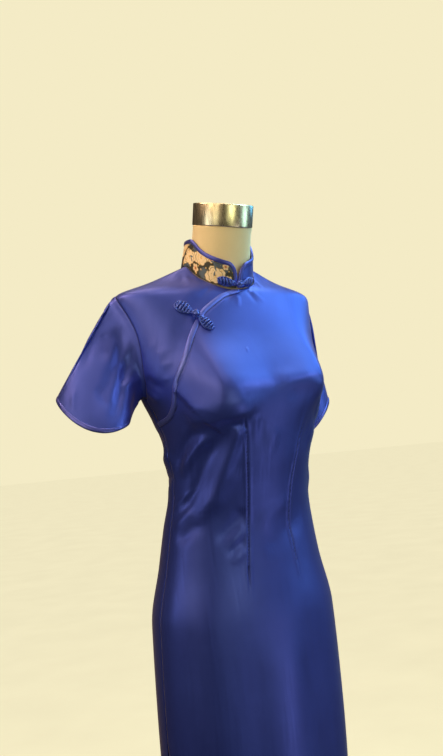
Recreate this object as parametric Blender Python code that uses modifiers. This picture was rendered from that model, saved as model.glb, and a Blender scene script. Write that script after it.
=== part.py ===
"""A short-sleeved satin cheongsam on a dressmaker's form with a round-based stand.

Metres, +Z up, origin on the floor under the pole. The front faces -Y, and the wearer's left is +X.
"Forward" below is the distance towards the front, so y = -forward. Each cloth piece is a thin wall
between an outer and an inner sheet, both worked out from the body table below.
"""

import math
from collections import namedtuple

import bmesh
import bpy
import numpy as np
from mathutils import Matrix, Vector

# ---------------------------------------------------------------- driving sizes
CLOTH = 0.0015  # wall of the satin, which is a face cloth on a fused backing
COLLAR_WALL = 0.0022  # the collar has a stiffening between its two cloths
SEAM = 0.0003  # space left between two pieces at a seam
ARMHOLE_SEAM = 0.0004  # the same round the armholes, where the two walls meet at an angle
NECK_SIDE = 0.066  # half the width of the neckline
NECK_DEPTH = 0.060  # from the side neck points to the front or the back of the neckline
NECK_CENTRE = -0.013  # forward of the side neck points
TIP_HEIGHT = 1.343  # of the shoulder tip, where the armhole starts
ARMPIT_HEIGHT = 1.164
HEM_HEIGHT = 0.420
SLIT_HEIGHT = 0.640
SLIT_SPREAD = 0.035  # how far each hem corner stands back from the side, in radians
BUST_HEIGHT = 1.160
BUST_TILT = 0.12  # how much higher the cloth is full for each unit towards the left
BUST_SIDE = 0.102  # from the centre front to where the cloth starts to round off
BUST_RISE = 0.038
BUST_SPREAD = (0.030, 0.068, 0.034)  # outwards, upwards and downwards
BUST_DIP = 0.75  # how much less the cloth is pushed out at the centre front
COLLAR_HEIGHT = 0.043
COLLAR_BACK_RISE = 0.007  # how much taller it is at the back
COLLAR_CLEAR = 0.0008  # under the collar
COLLAR_LEAN = 0.27  # forward for each unit upwards
COLLAR_TAPER = 0.13  # inward at the sides for each unit upwards
COLLAR_CORNER = (0.020, 0.030)  # the rounded front end, along the collar and upwards
COLLAR_BINDING_START = 0.0035  # up the front edge, clear of the opening's binding
COLLAR_PARTING = 0.0018  # from the centre front to each end of the collar
BINDING_WIDTH = 0.0075
BINDING_WALL = 0.0012
BINDING_END = 0.60  # how far over the last step to the collar the opening's binding runs
BINDING_LIFT = 0.0019  # what lies over a binding stands this much higher
UNDERLAP_DROP = 0.0024  # how far the underlap lies below the dress's face by the opening
UNDERLAP_REACH = 0.045  # how far it goes on under the front panel
UNDERLAP_NECK = 0.20  # where its hidden edge meets the neckline, in radians past the centre front
UNDERLAP_RISE = 0.040  # the distance from the opening at which it is flush with the dress again
UNDERLAP_LEVEL = 0.010  # and the distance within which it is fully down
LEAF_LENGTH = 0.033
LEAF_NECK = 0.0016  # half the width of a leaf where its cords meet the knot
LEAF_CLEAR = 0.0007  # under a leaf
CHEST_LEAF_SPREAD = 0.0086  # half the width of a leaf
COLLAR_LEAF_SPREAD = 0.0066
KNOT_RADIUS = 0.0055
KNOT_RISE = 0.0078  # from the cloth to the knot's centre
CHEST_FROG_START = 0.0063  # from the knot's centre to each leaf
COLLAR_FROG_START = 0.0046
COLLAR_FROG_HEIGHT = 0.0082
CHEST_FROG_AXIS = (0.62, -0.51, -0.60)
FORM_GAP = 0.0065  # from the dress's face to the form's skin, level
FORM_DROP = 0.0042  # the same, upwards at the shoulders
FORM_BOTTOM = 0.720
NECK_TOP = 1.4615
NECK_LEAN = 0.25
NECK_BLEND = 0.004  # how softly the neck runs into the shoulders
CAP_RADIUS = 0.0535
CAP_CLEAR = 0.0004
CAP_HEIGHT = 0.039
POLE_RADIUS = 0.014
BASE_RADIUS = 0.180
BASE_HEIGHT = 0.012
SOCKET_RADIUS = 0.024
SOCKET_HEIGHT = 0.034
FLANGE_RADIUS = 0.045
FLANGE_HEIGHT = 0.008

# How many faces each piece has, along and across.
SIDE_ROWS, SLEEVE_ROWS, ARMHOLE_ROWS, SHOULDER_ROWS = 24, 8, 12, 5
PANEL_COLUMNS = 20
COLLAR_COLUMNS, COLLAR_CORNER_COLUMNS, COLLAR_ROWS = 14, 5, 3
UNDERLAP_COLUMNS = 9
FORM_COLUMNS = 32
LEAF_SIDES = 18

# The body of the dress, one row for each level. half_width is at the side seam, centre is how
# far forward the side seam lies, front and back are the reach from the pole's axis, and the
# powers say how square the front and the back are.
Section = namedtuple("Section", "height half_width centre front back front_power back_power")
SECTIONS = [
    Section(0.400, 0.172, -0.010, 0.098, 0.134, 2.1, 2.1),
    Section(0.600, 0.175, -0.010, 0.100, 0.137, 2.1, 2.1),
    Section(0.780, 0.172, -0.010, 0.096, 0.140, 2.1, 2.1),
    Section(0.875, 0.152, -0.009, 0.087, 0.127, 2.1, 2.1),
    Section(0.940, 0.141, -0.006, 0.085, 0.112, 2.1, 2.1),
    Section(1.000, 0.132, -0.001, 0.097, 0.090, 2.1, 2.1),
    Section(1.060, 0.135, 0.000, 0.115, 0.082, 2.1, 2.1),
    Section(1.120, 0.149, -0.004, 0.126, 0.093, 2.1, 2.1),
    Section(1.165, 0.164, -0.013, 0.129, 0.108, 2.1, 2.2),
    Section(1.200, 0.176, -0.017, 0.114, 0.115, 2.2, 2.2),
    Section(1.265, 0.188, -0.024, 0.081, 0.118, 2.2, 2.2),
    Section(1.300, 0.195, -0.030, 0.067, 0.113, 2.2, 2.2),
    Section(1.338, 0.203, -0.034, 0.052, 0.104, 2.1, 2.1),
    Section(1.345, 0.197, -0.034, 0.048, 0.101, 2.1, 2.1),
    Section(1.360, 0.146, -0.030, 0.031, 0.094, 2.0, 2.0),
    Section(1.375, 0.109, -0.022, 0.016, 0.086, 2.0, 2.0),
    Section(1.391, 0.072, -0.012, 0.006, 0.076, 2.0, 2.0),
    Section(1.400, 0.048, -0.012, 0.000, 0.066, 2.0, 2.0),
]
PROFILE_STEP = 0.001
PROFILE_SOFTNESS = 0.006  # rounds the profile where rows meet

# Seam lines as they run over that surface: degrees round from the centre front, and height.
Station = namedtuple("Station", "angle height")
ARMHOLE = [  # from the shoulder tip down the front, and up the back to the tip again
    Station(90.0, 1.343),
    Station(86.2, 1.333),
    Station(82.8, 1.310),
    Station(80.3, 1.279),
    Station(80.0, 1.245),
    Station(81.6, 1.212),
    Station(84.8, 1.182),
    Station(90.0, 1.164),
    Station(96.0, 1.181),
    Station(100.3, 1.212),
    Station(102.2, 1.248),
    Station(101.3, 1.281),
    Station(97.8, 1.311),
    Station(94.0, 1.333),
]
OPENING = [
    Station(-90.0, 1.1220),
    Station(-78.8, 1.1305),
    Station(-71.8, 1.1460),
    Station(-68.2, 1.1620),
    Station(-64.5, 1.1840),
    Station(-58.4, 1.2200),
    Station(-53.4, 1.2620),
    Station(-47.2, 1.2915),
    Station(-40.8, 1.3105),
    Station(-23.4, 1.3338),
    Station(0.0, 1.3430),
]

CHEST_FROG = Station(-48.5, 1.2955)

# The cords of a leaf, as rings that shrink towards its round end.
LeafRing = namedtuple("LeafRing", "share rise")
LEAF_RINGS = [
    LeafRing(0.94, 0.0000),
    LeafRing(1.00, 0.0010),
    LeafRing(0.88, 0.0026),
    LeafRing(0.68, 0.0020),
    LeafRing(0.50, 0.0034),
    LeafRing(0.30, 0.0027),
    LeafRing(0.12, 0.0037),
]

# The form's levels: up to the neck they are flat, and from there they tip towards the cap.
FORM_LEVELS = [0.720, 0.78, 0.84, 0.88, 0.915, 0.945, 0.97, 0.99, 1.01, 1.03, 1.055, 1.08, 1.10]
FORM_LEVELS += [1.12, 1.145, 1.17, 1.20, 1.235]
FORM_LEVELS += [1.27, 1.30, 1.32, 1.332, 1.341, 1.348, 1.355, 1.363, 1.371, 1.379, 1.388, 1.398]
NeckLevel = namedtuple("NeckLevel", "height tilt")
FORM_NECK_LEVELS = [
    NeckLevel(1.412, 0.25),
    NeckLevel(1.428, 0.60),
    NeckLevel(1.444, 0.90),
    NeckLevel(NECK_TOP, 1.0),
]

# The two sleeve hems, each a flattened loop. turn is the direction of its long axis from
# straight out to the side, backwards, and lead is how far its own top lies in front of the end of
# that axis, both in degrees. The last three shape its height.
CUFF_SIZES = "side x forward height half_length half_depth turn lead outer_rise front_drop twist"
Cuff = namedtuple("Cuff", CUFF_SIZES)
CUFF_RIGHT = Cuff(-1, 0.269, -0.002, 1.138, 0.0570, 0.046, 33, 22, 0.0245, 0.0105, 0.0095)
CUFF_LEFT = Cuff(1, 0.189, -0.037, 1.104, 0.0460, 0.057, -33, -24, 0.0300, 0.0120, 0.0080)

# The largest folds of the sleeves: where each runs round the sleeve, how wide and how deep.
Fold = namedtuple("Fold", "turn width start end depth")
FOLDS_RIGHT = [
    Fold(0.20, 0.030, 0.15, 0.55, -0.0035),
    Fold(0.28, 0.028, 0.10, 0.60, -0.0050),
    Fold(0.43, 0.030, 0.25, 0.60, -0.0030),
    Fold(0.75, 0.045, 0.15, 0.60, -0.0050),
]
FOLDS_LEFT = [
    Fold(0.17, 0.030, 0.15, 0.55, -0.0045),
    Fold(0.30, 0.035, 0.10, 0.60, -0.0055),
    Fold(0.72, 0.040, 0.15, 0.60, -0.0050),
]

# ---------------------------------------------------------------- the body's surface


def smooth_profile(heights, values):
    """A profile through the rows with no overshoot, rounded by a short moving average."""
    h, v = np.array(heights), np.array(values)
    steps = np.diff(h)
    slopes = np.diff(v) / steps
    tangents = np.zeros_like(v)
    together = slopes[:-1] * slopes[1:] > 0
    first, second = 2 * steps[1:] + steps[:-1], steps[1:] + 2 * steps[:-1]
    before, after = (np.where(together, some, 1) for some in (slopes[:-1], slopes[1:]))
    below = np.where(together, first / before + second / after, 1)
    tangents[1:-1] = np.where(together, (first + second) / below, 0)
    tangents[0], tangents[-1] = slopes[0], slopes[-1]
    fine = np.arange(h[0], h[-1], PROFILE_STEP)
    i = np.clip(np.searchsorted(h, fine, side="right") - 1, 0, len(h) - 2)
    width = steps[i]
    t = (fine - h[i]) / width
    curve = (2 * t**3 - 3 * t**2 + 1) * v[i] + (t**3 - 2 * t**2 + t) * width * tangents[i]
    curve += (3 * t**2 - 2 * t**3) * v[i + 1] + (t**3 - t**2) * width * tangents[i + 1]
    reach = int(3 * PROFILE_SOFTNESS / PROFILE_STEP)
    kernel = np.exp(-0.5 * (np.arange(-reach, reach + 1) * PROFILE_STEP / PROFILE_SOFTNESS) ** 2)
    padded = np.concatenate([np.full(reach, curve[0]), curve, np.full(reach, curve[-1])])
    return fine, np.convolve(padded, kernel / kernel.sum(), mode="valid")


PROFILES = {
    name: smooth_profile([row.height for row in SECTIONS], [getattr(row, name) for row in SECTIONS])
    for name in Section._fields[1:]
}


def profile(name, height):
    return np.interp(height, *PROFILES[name])


def bust(x, height):
    """How much the cups and darts push the front forward."""
    outward, up, down = BUST_SPREAD
    above = height - BUST_HEIGHT - BUST_TILT * x
    rise = np.exp(-0.5 * (above / np.where(above > 0, up, down)) ** 2)
    beyond = np.maximum(np.abs(x) - BUST_SIDE, 0)
    inside = 1 - BUST_DIP * np.maximum(1 - (x / BUST_SIDE) ** 2, 0) ** 1.3
    return BUST_RISE * rise * inside * np.exp(-0.5 * (beyond / outward) ** 2)


def reach(angle, height):
    """How far the plain rings reach from their centre, without the cups."""
    half_width, centre = profile("half_width", height), profile("centre", height)
    s, c = np.abs(np.sin(angle)), np.cos(angle)
    ahead = c > 0
    depth = np.where(ahead, profile("front", height) - centre, profile("back", height) + centre)
    power = np.where(ahead, profile("front_power", height), profile("back_power", height))
    return ((s / half_width) ** power + (np.abs(c) / depth) ** power) ** (-1 / power)


def skin(angle, height):
    """Points of the dress's outer face. Angle 0 is the centre front and 90 degrees the left side."""
    angle, height = np.broadcast_arrays(np.asarray(angle, float), np.asarray(height, float))
    distance = reach(angle, height)
    x = distance * np.sin(angle)
    forward = profile("centre", height) + distance * np.cos(angle)
    forward = forward + bust(x, height) * np.clip(np.cos(angle), 0, 1) ** 0.5
    return np.stack([x, -forward, height], axis=-1)


def unit(vectors):
    return vectors / np.maximum(np.linalg.norm(vectors, axis=-1, keepdims=True), 1e-12)


def skin_normal(angle, height):
    turn, rise = 0.01, 0.0015
    around = skin(angle + turn, height) - skin(angle - turn, height)
    upward = skin(angle, height + rise) - skin(angle, height - rise)
    return unit(np.cross(around, upward))


def smooth_step(value):
    t = np.clip(value, 0, 1)
    return t * t * (3 - 2 * t)


# ---------------------------------------------------------------- seam lines


def spaced(run, count):
    """Count + 1 stations at equal distances along a run of (angle, height) pairs, in radians."""
    points = skin(run[:, 0], run[:, 1])
    travel = np.concatenate([[0], np.cumsum(np.linalg.norm(np.diff(points, axis=0), axis=1))])
    wanted = np.linspace(0, travel[-1], count + 1)
    return np.stack([np.interp(wanted, travel, run[:, 0]), np.interp(wanted, travel, run[:, 1])], axis=-1)


def through(stations, closed=False, steps=24):
    """A smooth run through a table of stations, by Catmull-Rom."""
    p = np.array([(math.radians(s.angle), s.height) for s in stations])
    if closed:
        p = np.vstack([p[-1], p, p[:2]])
    else:
        p = np.vstack([2 * p[0] - p[1], p, 2 * p[-1] - p[-2]])
    t = np.linspace(0, 1, steps, endpoint=False)[:, None]
    parts = []
    for a, b, c, d in zip(p[:-3], p[1:-2], p[2:-1], p[3:]):
        square, cube = 2 * a - 5 * b + 4 * c - d, 3 * b - a - 3 * c + d
        parts.append(0.5 * (2 * b + (c - a) * t + square * t**2 + cube * t**3))
    return np.vstack(parts + [p[-2:-1]])


def neckline(turn):
    """The (angle, height) pairs of the neckline, an ellipse from above, dropped onto the body."""
    turn = np.asarray(turn, float)
    x, forward = NECK_SIDE * np.sin(turn), NECK_CENTRE + NECK_DEPTH * np.cos(turn)
    low, high = np.full(turn.shape, 1.30), np.full(turn.shape, 1.399)
    for _ in range(30):
        middle = (low + high) / 2
        behind = forward - profile("centre", middle)
        inside = np.hypot(x, behind) < reach(np.arctan2(x, behind), middle)
        low, high = np.where(inside, middle, low), np.where(inside, high, middle)
    angle = np.arctan2(x, forward - profile("centre", low))
    return np.stack([np.where(turn > math.pi, angle + 2 * math.pi, angle), low], axis=-1)


def side_seam(side, face, low, high, count):
    """Stations up a side seam. face is 1 on the front panel and -1 on the back panel."""
    heights = np.linspace(low, high, count + 1)
    spread = SLIT_SPREAD * smooth_step((SLIT_HEIGHT - heights) / (SLIT_HEIGHT - HEM_HEIGHT))
    apart = SEAM / 2 / profile("half_width", heights) + spread
    return np.stack([side * (math.pi / 2 - face * apart), heights], axis=-1)


def armhole(side, face, count=ARMHOLE_ROWS):
    """Stations up one half of an armhole, from the armpit to the shoulder tip."""
    loop = through(ARMHOLE, closed=True)
    armpit = loop[:, 1].argmin()
    run = loop[: armpit + 1][::-1] if face > 0 else loop[armpit:]
    stations = spaced(run, count)
    apart = SEAM / 2 / profile("half_width", stations[:, 1])
    stations[:, 0] = np.where(
        face > 0,
        np.minimum(stations[:, 0], math.pi / 2 - apart),
        np.maximum(stations[:, 0], math.pi / 2 + apart),
    )
    stations[:, 0] *= side
    return stations


def shoulder(side, face, count=SHOULDER_ROWS):
    """Stations up the shoulder seam, from the tip to the neckline."""
    heights = np.linspace(TIP_HEIGHT, neckline(side * math.pi / 2)[1], count + 1)
    apart = SEAM / 2 / profile("half_width", heights)
    return np.stack([side * (math.pi / 2 - face * apart), heights], axis=-1)


def joined(*runs):
    return np.vstack([runs[0]] + [run[1:] for run in runs[1:]])


def patch(left, right, bottom, top):
    """A grid of (angle, height) pairs inside four edge runs. Rows go upwards."""
    u = np.linspace(0, 1, len(bottom))[None, :, None]
    v = np.linspace(0, 1, len(left))[:, None, None]
    across = (1 - u) * left[:, None] + u * right[:, None]
    upward = (1 - v) * bottom[None] + v * top[None]
    corners = (1 - u) * (1 - v) * bottom[0] + u * (1 - v) * bottom[-1]
    corners += (1 - u) * v * top[0] + u * v * top[-1]
    return across + upward - corners


def between(start, end, count):
    t = np.linspace(0, 1, count + 1)[:, None]
    return (1 - t) * start + t * end


# ---------------------------------------------------------------- solids


def new_material(name, colour, metallic=0.0, roughness=0.5):
    material = bpy.data.materials.new(name)
    material.use_nodes = True
    shader = material.node_tree.nodes["Principled BSDF"]
    shader.inputs["Base Color"].default_value = (*colour, 1.0)
    shader.inputs["Metallic"].default_value = metallic
    shader.inputs["Roughness"].default_value = roughness
    return material


def add_mesh(name, vertices, faces, material, smooth=True):
    mesh = bpy.data.meshes.new(name)
    mesh.from_pydata([tuple(v) for v in vertices], [], faces)
    tidy = bmesh.new()
    tidy.from_mesh(mesh)
    bmesh.ops.recalc_face_normals(tidy, faces=tidy.faces)
    tidy.to_mesh(mesh)
    tidy.free()
    mesh.polygons.foreach_set("use_smooth", [smooth] * len(mesh.polygons))
    obj = bpy.data.objects.new(name, mesh)
    obj.data.materials.append(material)
    COLLECTION.objects.link(obj)
    return obj


def grid_faces(rows, columns, start=0, ring=False):
    """Quads over a grid of points stored row by row. A ring joins the last column to the first."""
    last = columns if ring else columns - 1
    quads = []
    for r in range(rows - 1):
        for c in range(last):
            a, b = start + r * columns + c, start + r * columns + (c + 1) % columns
            quads.append((a, b, b + columns, a + columns))
    return quads


def wall(name, outer, inner, material, ring=False):
    """A closed wall between two grids of points of the same shape."""
    rows, columns = outer.shape[:2]
    count = rows * columns
    faces = grid_faces(rows, columns, 0, ring)
    faces += [face[::-1] for face in grid_faces(rows, columns, count, ring)]
    edge = [(0, c) for c in range(columns)]
    far = [(rows - 1, c) for c in range(columns)]
    if ring:
        rims = [edge + edge[:1], far + far[:1]]
    else:
        right = [(r, columns - 1) for r in range(1, rows)]
        left = [(r, 0) for r in range(rows - 2, 0, -1)]
        rims = [edge + right + far[::-1][1:] + left + edge[:1]]
    for rim in rims:
        ids = [r * columns + c for r, c in rim]
        faces += [(a, b, b + count, a + count) for a, b in zip(ids, ids[1:])]
    points = np.vstack([outer.reshape(-1, 3), inner.reshape(-1, 3)])
    return add_mesh(name, points, faces, material)


def sweep(name, sections, material, ring=False):
    """A closed body through a row of sections, each with the same number of points."""
    count, sides = sections.shape[:2]
    closed = np.concatenate([sections, sections[:1]]) if ring else sections
    faces = []
    for r in range(len(closed) - 1):
        for c in range(sides):
            a, b = r * sides + c, r * sides + (c + 1) % sides
            faces.append((a, b, (b + sides) % (count * sides), (a + sides) % (count * sides)))
    if not ring:
        faces += [tuple(range(sides)), tuple(range((count - 1) * sides, count * sides))]
    return add_mesh(name, sections.reshape(-1, 3), faces, material)


def turned(name, outline, material, steps=48, bevel=0.0):
    """A solid turned about +Z from (radius, height) pairs that start and end on the axis."""
    obj = add_mesh(name, [(r, 0.0, h) for r, h in outline], [], material)
    for i in range(len(outline) - 1):
        obj.data.edges.add(1)
        obj.data.edges[-1].vertices = (i, i + 1)
    screw = obj.modifiers.new("Turned", "SCREW")
    screw.steps = screw.render_steps = steps
    screw.merge_threshold = 0.0001
    screw.use_merge_vertices = True
    screw.use_normal_flip = True
    if bevel:
        rounded = obj.modifiers.new("Bevel", "BEVEL")
        rounded.width = bevel
        rounded.segments = 2
        rounded.limit_method = "ANGLE"
        rounded.angle_limit = math.radians(50)
    return obj


def panel(name, stations, material, drop=0.0):
    """A cloth panel over a grid of stations, with its face drop below the body's surface."""
    points = skin(stations[..., 0], stations[..., 1])
    normals = skin_normal(stations[..., 0], stations[..., 1])
    deep = np.broadcast_to(np.asarray(drop, float), stations.shape[:2])[..., None]
    return wall(name, points - normals * deep, points - normals * (deep + CLOTH), material)


# ---------------------------------------------------------------- clean scene and materials

for old in list(bpy.data.objects):
    bpy.data.objects.remove(old, do_unlink=True)
COLLECTION = bpy.data.collections.new("cheongsam_on_form")
bpy.context.scene.collection.children.link(COLLECTION)

SATIN = new_material("blue_satin", (0.045, 0.075, 0.42), roughness=0.38)
TRIM = new_material("blue_satin_binding", (0.05, 0.10, 0.50), roughness=0.35)
CORD = new_material("blue_satin_cord", (0.04, 0.08, 0.45), roughness=0.35)
BROCADE = new_material("flowered_brocade", (0.10, 0.13, 0.19), roughness=0.45)
LINEN = new_material("form_cover", (0.80, 0.72, 0.56), roughness=0.85)
POLISHED = new_material("polished_steel", (0.75, 0.74, 0.72), metallic=1.0, roughness=0.12)
PAINTED = new_material("stand_enamel", (0.05, 0.05, 0.055), metallic=0.0, roughness=0.4)

# ---------------------------------------------------------------- panels

OPENING_ROWS = ARMHOLE_ROWS + SHOULDER_ROWS + 2
FRONT_SIDE_ROWS = SIDE_ROWS + ARMHOLE_ROWS + SHOULDER_ROWS - OPENING_ROWS
neck_front = neckline(0.0)
opening_run = spaced(through(OPENING[:-1] + [Station(0.0, float(neck_front[1]))]), OPENING_ROWS)

front_left = joined(
    side_seam(1, 1, HEM_HEIGHT, ARMPIT_HEIGHT, SIDE_ROWS), armhole(1, 1), shoulder(1, 1)
)
front_right = joined(side_seam(-1, 1, HEM_HEIGHT, opening_run[0, 1], FRONT_SIDE_ROWS), opening_run)
front_hem = between(front_right[0], front_left[0], PANEL_COLUMNS)
front_top = neckline(np.linspace(0, math.pi / 2, PANEL_COLUMNS + 1))
front_top[-1] = front_left[-1]
front_grid = patch(front_right, front_left, front_hem, front_top)
panel("front_panel", front_grid, SATIN)

back_right = joined(
    side_seam(-1, -1, HEM_HEIGHT, ARMPIT_HEIGHT, SIDE_ROWS), armhole(-1, -1), shoulder(-1, -1)
)
back_right[:, 0] += 2 * math.pi
back_left = joined(
    side_seam(1, -1, HEM_HEIGHT, ARMPIT_HEIGHT, SIDE_ROWS), armhole(1, -1), shoulder(1, -1)
)
back_top = neckline(np.linspace(math.pi / 2, 1.5 * math.pi, PANEL_COLUMNS + 1))
back_top[0], back_top[-1] = back_left[-1], back_right[-1]
back_grid = patch(back_left, back_right, between(back_left[0], back_right[0], PANEL_COLUMNS), back_top)
panel("back_panel", back_grid, SATIN)

# The underlap is the right side of the chest. Its inner edge lies hidden under the front panel.


def frame_on(run):
    """Points, normals and the direction to the left of travel, along a run on the body."""
    points, normals = skin(run[:, 0], run[:, 1]), skin_normal(run[:, 0], run[:, 1])
    ahead = unit(np.gradient(points, axis=0))
    return points, normals, unit(np.cross(normals, ahead))


def shifted(stations, vectors):
    """Stations moved over the body's surface by short vectors."""
    turn, rise = 0.002, 0.0005
    angle, height = stations[..., 0], stations[..., 1]
    around = (skin(angle + turn, height) - skin(angle - turn, height)) / (2 * turn)
    upward = (skin(angle, height + rise) - skin(angle, height - rise)) / (2 * rise)
    aa, ab, bb = (around**2).sum(-1), (around * upward).sum(-1), (upward**2).sum(-1)
    av, bv = (around * vectors).sum(-1), (upward * vectors).sum(-1)
    size = aa * bb - ab**2
    return stations + np.stack([(av * bb - bv * ab) / size, (bv * aa - av * ab) / size], axis=-1)


opening_points, opening_normals, opening_left = frame_on(opening_run)
underlap_outer = joined(
    side_seam(-1, 1, opening_run[0, 1] - UNDERLAP_REACH, ARMPIT_HEIGHT, 4), armhole(-1, 1), shoulder(-1, 1)
)
hidden_edge = shifted(opening_run, -opening_left * UNDERLAP_REACH)
late = smooth_step(np.linspace(-4, 1, len(hidden_edge)))[:, None]
hidden_edge = (1 - late) * hidden_edge + late * neckline(UNDERLAP_NECK)
hidden_edge = spaced(hidden_edge, len(underlap_outer) - 1)
underlap_top = neckline(np.linspace(-math.pi / 2, UNDERLAP_NECK, UNDERLAP_COLUMNS + 1))
underlap_top[0] = underlap_outer[-1]
underlap_low = between(underlap_outer[0], hidden_edge[0], UNDERLAP_COLUMNS)
underlap_grid = patch(underlap_outer, hidden_edge, underlap_low, underlap_top)
underlap_points = skin(underlap_grid[..., 0], underlap_grid[..., 1])
apart = underlap_points[:, :, None] - opening_points
nearest = np.linalg.norm(apart, axis=-1).argmin(-1)
under = -(np.take_along_axis(apart, nearest[..., None, None], 2)[:, :, 0] * opening_left[nearest]).sum(-1)
fall = UNDERLAP_DROP * smooth_step((under + UNDERLAP_RISE) / (UNDERLAP_RISE - UNDERLAP_LEVEL))
panel("front_underlap", underlap_grid, SATIN, fall)

# ---------------------------------------------------------------- sleeves

FINE = 8  # dense steps for each row round an armhole


class Sleeve:
    """A sleeve's outer face, as points for a turn round it (0 to 1) and a way along it (0 to 1)."""

    def __init__(self, cuff, folds):
        self.cuff, self.folds = cuff, folds
        front = armhole(cuff.side, 1, ARMHOLE_ROWS * FINE)[::-1]
        back = armhole(cuff.side, -1, ARMHOLE_ROWS * FINE)
        if cuff.side < 0:
            back[:, 0] = -back[:, 0]
            front[:, 0] = -front[:, 0]
        run = np.vstack([back[-3:-1], front, back[1:], front[1:3]])
        points, normals, left = (value[2:-2] for value in frame_on(run))
        mirror = np.array([cuff.side, 1.0, 1.0])
        self.turns = np.linspace(0, 1, len(points))
        off = left * mirror
        off = off * np.sign(off[:, :1] * cuff.side)
        self.rim = points * mirror + off * ARMHOLE_SEAM
        self.off = off
        self.rim_normal = normals * mirror

    def along_rim(self, values, turn):
        turn = np.mod(turn, 1.0)
        return np.stack([np.interp(turn, self.turns, values[:, i]) for i in range(3)], axis=-1)

    def hem(self, turn):
        cuff = self.cuff
        phase = 2 * math.pi * turn + math.radians(cuff.lead)
        aside = math.radians(cuff.turn)
        out, ahead = cuff.half_length * np.cos(phase), cuff.half_depth * np.sin(phase)
        x = cuff.x + out * math.cos(aside) + ahead * math.sin(aside)
        forward = cuff.forward - out * math.sin(aside) + ahead * math.cos(aside)
        height = cuff.height + cuff.outer_rise * np.cos(phase) - cuff.front_drop * np.sin(phase)
        height = height + cuff.twist * np.cos(2 * phase)
        return np.stack([cuff.side * x, -forward, height], axis=-1)

    def plain(self, turn, way):
        turn, way = np.broadcast_arrays(np.asarray(turn, float), np.asarray(way, float))
        start, finish = self.along_rim(self.rim, turn), self.hem(turn)
        chord = finish - start
        length = np.linalg.norm(chord, axis=-1, keepdims=True)
        top = (0.5 + 0.5 * np.cos(2 * math.pi * turn))[..., None]
        off = unit(self.along_rim(self.off, turn))
        leave = unit((0.8 + 0.2 * top) * off + (1 - top) * 0.3 * chord / length)
        leave = leave * length * (0.70 - 0.25 * top)
        arrive = unit(chord / length + np.array([0, 0, -0.18])) * length * 0.9
        t = way[..., None]
        point = (2 * t**3 - 3 * t**2 + 1) * start + (t**3 - 2 * t**2 + t) * leave
        return point + (3 * t**2 - 2 * t**3) * finish + (t**3 - t**2) * arrive

    def normal(self, place, turn, way):
        """The outward normal of a surface given as a function of turn and way."""
        around = place(turn + 0.004, way) - place(turn - 0.004, way)
        low, high = np.maximum(way - 0.01, 0), np.minimum(way + 0.01, 1)
        along = place(turn, high) - place(turn, low)
        across = unit(np.cross(around, along)) * self.cuff.side
        rim = unit(self.along_rim(self.rim_normal, turn))
        near = (1 - smooth_step(np.asarray(way) / 0.12))[..., None]
        return unit(near * rim + (1 - near) * across)

    def point(self, turn, way):
        turn, way = np.broadcast_arrays(np.asarray(turn, float), np.asarray(way, float))
        depth = np.zeros(turn.shape)
        for fold in self.folds:
            round_it = np.mod(turn - fold.turn + 0.5, 1.0) - 0.5
            ends = smooth_step((way - fold.start) / 0.25) * (1 - smooth_step((way - fold.end) / 0.35))
            depth = depth + fold.depth * np.exp(-0.5 * (round_it / fold.width) ** 2) * ends
        return self.plain(turn, way) + self.normal(self.plain, turn, way) * depth[..., None]


SLEEVE_COLUMNS = 2 * ARMHOLE_ROWS
# One leg of a folded binding, as distances in from the edge and off the cloth.
WRAP = [
    (-SEAM - BINDING_WALL, SEAM + BINDING_WALL),
    (BINDING_WIDTH, SEAM + BINDING_WALL),
    (BINDING_WIDTH, SEAM),
    (-SEAM, SEAM),
]


def make_sleeve(side_name, cuff, folds):
    sleeve = Sleeve(cuff, folds)
    turn = np.arange(SLEEVE_COLUMNS)[None, :] / SLEEVE_COLUMNS
    way = np.append(np.linspace(0, 0.93, SLEEVE_ROWS), 1.0)[:, None]
    turn, way = np.broadcast_arrays(turn, way)
    outer = sleeve.point(turn, way)
    normals = sleeve.normal(sleeve.point, turn, way)
    wall("sleeve_" + side_name, outer, outer - normals * CLOTH, SATIN, ring=True)

    inner = outer - normals * CLOTH
    out = normals[-1]
    sections = []
    for sheet, side_out, ease, legs in ((outer, out, SEAM / 2, WRAP), (inner, -out, SEAM, WRAP[::-1])):
        last = sheet[-2] - sheet[-1]
        up = last / np.linalg.norm(last, axis=-1, keepdims=True)
        room = 0.92 * np.linalg.norm(last, axis=-1, keepdims=True)
        side_out = unit(side_out - up * (side_out * up).sum(-1, keepdims=True))
        for along, off in legs:
            sections.append(sheet[-1] + up * np.minimum(along, room) + side_out * (off + ease))
    sections = np.stack(sections, axis=1)
    sweep("sleeve_binding_" + side_name, sections, TRIM, ring=True)


make_sleeve("right", CUFF_RIGHT, FOLDS_RIGHT)
make_sleeve("left", CUFF_LEFT, FOLDS_LEFT)

# ---------------------------------------------------------------- opening binding

edge_stations = opening_run.copy()
edge_stations[-1] = BINDING_END * opening_run[-1] + (1 - BINDING_END) * opening_run[-2]


def on_body(stations, along, off):
    """Points at a distance over the surface to the right of a run, and at a height off it."""
    _, _, left = frame_on(stations)
    place = shifted(stations, -left * along)
    return skin(place[:, 0], place[:, 1]) + skin_normal(place[:, 0], place[:, 1]) * off


legs = WRAP + [(-SEAM, -CLOTH), (-SEAM - BINDING_WALL, -CLOTH)]
sections = [on_body(edge_stations, along, off) for along, off in legs]
sweep("opening_binding", np.stack(sections, axis=1), TRIM)

# ---------------------------------------------------------------- collar


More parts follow.
